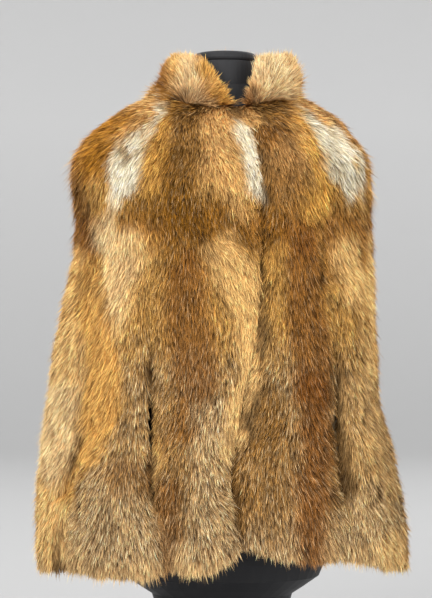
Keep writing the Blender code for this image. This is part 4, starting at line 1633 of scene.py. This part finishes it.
def collar_grids(first_pelt, last_pelt, edge):
    """Both sides of a collar half, from its foot up, with the front edge as last column."""
    ends = [float(seam_angle(side, np.array(0.0))) for side in (first_pelt, last_pelt)]
    back, front = ends if edge == "edge_right" else ends[::-1]
    turns = np.radians(np.linspace(0, COLLAR_LAST_TURN, COLLAR_ROUND_ROWS))
    places = np.r_[
        np.linspace(0, COLLAR_ROUND_FROM, COLLAR_FLAT_ROWS + 1)[:-1],
        COLLAR_ROUND_FROM + (COLLAR_TOP - COLLAR_ROUND_FROM) * np.sin(turns),
    ]
    side = np.r_[np.ones(COLLAR_FLAT_ROWS), np.cos(turns)]
    share = np.linspace(0, 1, COLLAR_POINTS)
    start = back + (front - back) * share
    opened = on_curve(COLLAR_SECTION[edge], places) - COLLAR_SECTION[edge][0]
    angle = start[None, :] + opened[:, None] * share[None, :]
    rows = np.broadcast_to(places[:, None], angle.shape)
    surface = collar_surface(angle, rows)
    walked = np.linalg.norm(np.diff(surface, axis=1), axis=-1)
    length = walked.sum(1)
    end_back = COLLAR_EDGE_BACK / length
    share_rows = share[None, :] * (1 - end_back[:, None])
    angle = back + (front - back) * share_rows + opened[:, None] * share_rows
    surface = collar_surface(angle, rows)
    normal = level_normal(collar_surface, angle, rows)
    depth = on_curve(COLLAR_SECTION["depth"], rows)
    to_edge = (1 - share)[None, :] * length[:, None]
    to_round = np.clip(to_edge / COLLAR_EDGE_ROUNDING, COLLAR_THINNEST, 1)
    rounded = np.sqrt(1 - (1 - to_round) ** 2)
    half = np.maximum(depth / 2 - COLLAR_FUR, COLLAR_HALF_DEPTH) * rounded * side[:, None]
    middle = surface - depth[..., None] / 2 * normal
    outer = middle + half[..., None] * normal
    inner = middle - half[..., None] * normal
    known = {
        "angle": angle, "place": rows, "to_edge": to_edge, "normal": normal,
        "length": float(length.max()),
    }
    return outer, inner, known


# %% Collar beds
COLLAR_LEAN_RIPPLES = ((22, 0.05, 41),)
COLLAR_RISE_RIPPLES = ((9, 0.03, 42),)
COLLAR_LENGTH_RIPPLES = ((0.20, 0.03, 43),)
SHAGGY_RIPPLES = ((0.65, 0.022, 44),)
COLLAR_LEAN_FADE = (70, 100)
TOP_PLACES = (2.2, 3.5)  # places up the collar's table between which its top starts
FOOT_PLACES = 1.1  # and over which its foot ends
EDGE_REACH = 0.030
OUTSIDE_RISE, OUTSIDE_TOP_RISE, OUTSIDE_FOOT_RISE = 25, 26, 22  # degrees
INSIDE_RISE, INSIDE_TOP_RISE = 18, 36
TOP_SHORTER = 0.22
EDGE_SHORTER = 0.25
INSIDE_LENGTH = 0.7
SHAGGY = 0.35
SHAGGY_LONGER = 0.7
COLLAR_TIP_AHEAD = 0.014


def collar_bed(name, outer, inner, known, leftwards):
    """The bed of both sides of a collar half, up the outer side and down the inner one."""
    place = np.concatenate([outer, inner[::-1]])
    away = np.concatenate([known["normal"], -known["normal"][::-1]])
    level = np.concatenate([known["place"], known["place"][::-1]])
    to_edge = np.concatenate([known["to_edge"], known["to_edge"][::-1]])
    angle = np.concatenate([known["angle"], known["angle"][::-1]])
    outside = np.repeat([1.0, 0.0], len(outer))[:, None]
    normal, up_row, across = grid_normals(place, away)
    upward = np.where(outside[..., None] > 0.5, up_row, -up_row)
    side = leftwards * unit(across - (across * up_row).sum(-1, keepdims=True) * up_row)
    in_front = from_front(angle, COLLAR_LEAN_FADE)
    lean = rippled(place, COLLAR_LEAN_RIPPLES)
    charted = front_chart(place)
    for across_mm, up_mm, degrees, reach in COLLAR_LEANS:
        weight = near(charted, across_mm, up_mm, reach) * in_front
        lean = lean * (1 - weight) + degrees * weight
    turned = np.radians(lean * outside)[..., None]
    comb = np.cos(turned) * upward + np.sin(turned) * side
    top = smooth_step(*TOP_PLACES, level)
    at_edge = 1 - smooth_step(0.0, EDGE_REACH, to_edge)
    foot = 1 - smooth_step(0.0, FOOT_PLACES, level)
    rise_outside = OUTSIDE_RISE + OUTSIDE_TOP_RISE * top + OUTSIDE_FOOT_RISE * foot
    rise = np.where(outside > 0.5, rise_outside, INSIDE_RISE + INSIDE_TOP_RISE * top)
    rise = rise + rippled(place, COLLAR_RISE_RIPPLES)
    length = 1 + rippled(place, COLLAR_LENGTH_RIPPLES)
    length = length * (1 - TOP_SHORTER * top) * (1 - EDGE_SHORTER * at_edge)
    length = length * np.where(outside > 0.5, 1.0, INSIDE_LENGTH)
    shaggy = SHAGGY + rippled(place, SHAGGY_RIPPLES)
    length = length * (1 + SHAGGY_LONGER * foot * outside * np.clip(shaggy, 0, 1))
    tips = place + COLLAR_TIP_AHEAD * length[..., None] * comb
    grown = {
        "place": place, "up": normal, "comb": comb, "rise": rise, "reach": length,
        "tones": collar_tones(tips, angle),
    }
    return bed_object(name, grown)

# %% Collar halves
COLLAR_SEED = 140
COLLAR_COAT = {
    "density": 1000000,
    "length": 0.0215,
    "width": 0.0020,
    "stray": 0.24,
    "lock_size": 0.012,
    "lock_lean": 0.9,
}

for name, first_pelt, last_pelt, edge, leftwards in (
    ("collar_right", BACK_PELT, len(PELTS), "edge_right", 1),
    ("collar_left", 0, BACK_PELT, "edge_left", -1),
):
    outer, inner, known = collar_grids(first_pelt, last_pelt, edge)
    bed = collar_bed(name + "_bed", outer, inner, known, leftwards)
    steps = np.linalg.norm(np.diff((outer + inner) / 2, axis=0), axis=-1)
    height = float(steps.sum(0).max())
    hairs_in_all += clothe(
        name,
        outer,
        inner,
        bed,
        "collar_fur",
        (known["length"], height),
        collar_tones(outer, known["angle"]),
        seed=COLLAR_SEED + first_pelt,
        **COLLAR_COAT,
    )
bpy.data.objects.remove(hair)
print("hairs in all:", hairs_in_all)

# %% [markdown]
# ## The dress form and its stand
#
# The form and its neck cap are covered with black stretch jersey, which has a fine knit
# and a faint sheen. The pole, the flange and the base are enamelled black. Their solids
# already have the right shape, so only their materials are made here. A knit could be
# modelled stitch by stitch, but it is far too fine to show, so a little bump is enough.

# %% Jersey and enamel
jersey, jersey_shader = new_material(
    "black jersey", roughness=0.58, specular=0.30, sheen=0.08
)
tree = jersey.node_tree
coords = add_node(tree, "ShaderNodeTexCoord").outputs["Object"]
knit = add_node(tree, "ShaderNodeTexWave", {"Vector": coords, "Scale": 260.0, "Distortion": 1.5})
weave = add_node(tree, "ShaderNodeTexNoise", {"Vector": coords, "Scale": 9.0, "Detail": 4.0})
colour = mixed(
    tree, weave.outputs["Fac"], rgba(from_screen(22, 22, 24)), rgba(from_screen(30, 30, 33))
)
tree.links.new(colour, jersey_shader.inputs["Base Color"])
bump = add_node(tree, "ShaderNodeBump", {"Height": knit.outputs["Fac"], "Strength": 0.25})
bump.inputs["Distance"].default_value = 0.0004
tree.links.new(bump.outputs["Normal"], jersey_shader.inputs["Normal"])

enamel, enamel_shader = new_material("black enamel", roughness=0.38)
tree = enamel.node_tree
coords = add_node(tree, "ShaderNodeTexCoord").outputs["Object"]
dust = add_node(tree, "ShaderNodeTexNoise", {"Vector": coords, "Scale": 40.0, "Detail": 5.0})
colour = mixed(
    tree, dust.outputs["Fac"], rgba(from_screen(30, 30, 33)), rgba(from_screen(44, 44, 47))
)
tree.links.new(colour, enamel_shader.inputs["Base Color"])

for name, material in (
    ("form_torso", jersey),
    ("form_neck_cap", jersey),
    ("stand_flange", enamel),
    ("stand_pole", enamel),
    ("stand_base", enamel),
):
    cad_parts[name].material_slots[0].material = material

# %% [markdown]
# ## Sizes at the end
#
# Hairs may reach a little past the solids that they stand for, but the cape must keep its real
# size. Both boxes are printed, so that they can be compared.

# %% Sizes at the end
new_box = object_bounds()
for label, corners in (("frame", CAD_BOX), ("cape", new_box)):
    print(label, [[round(part, 4) for part in corner] for corner in corners])
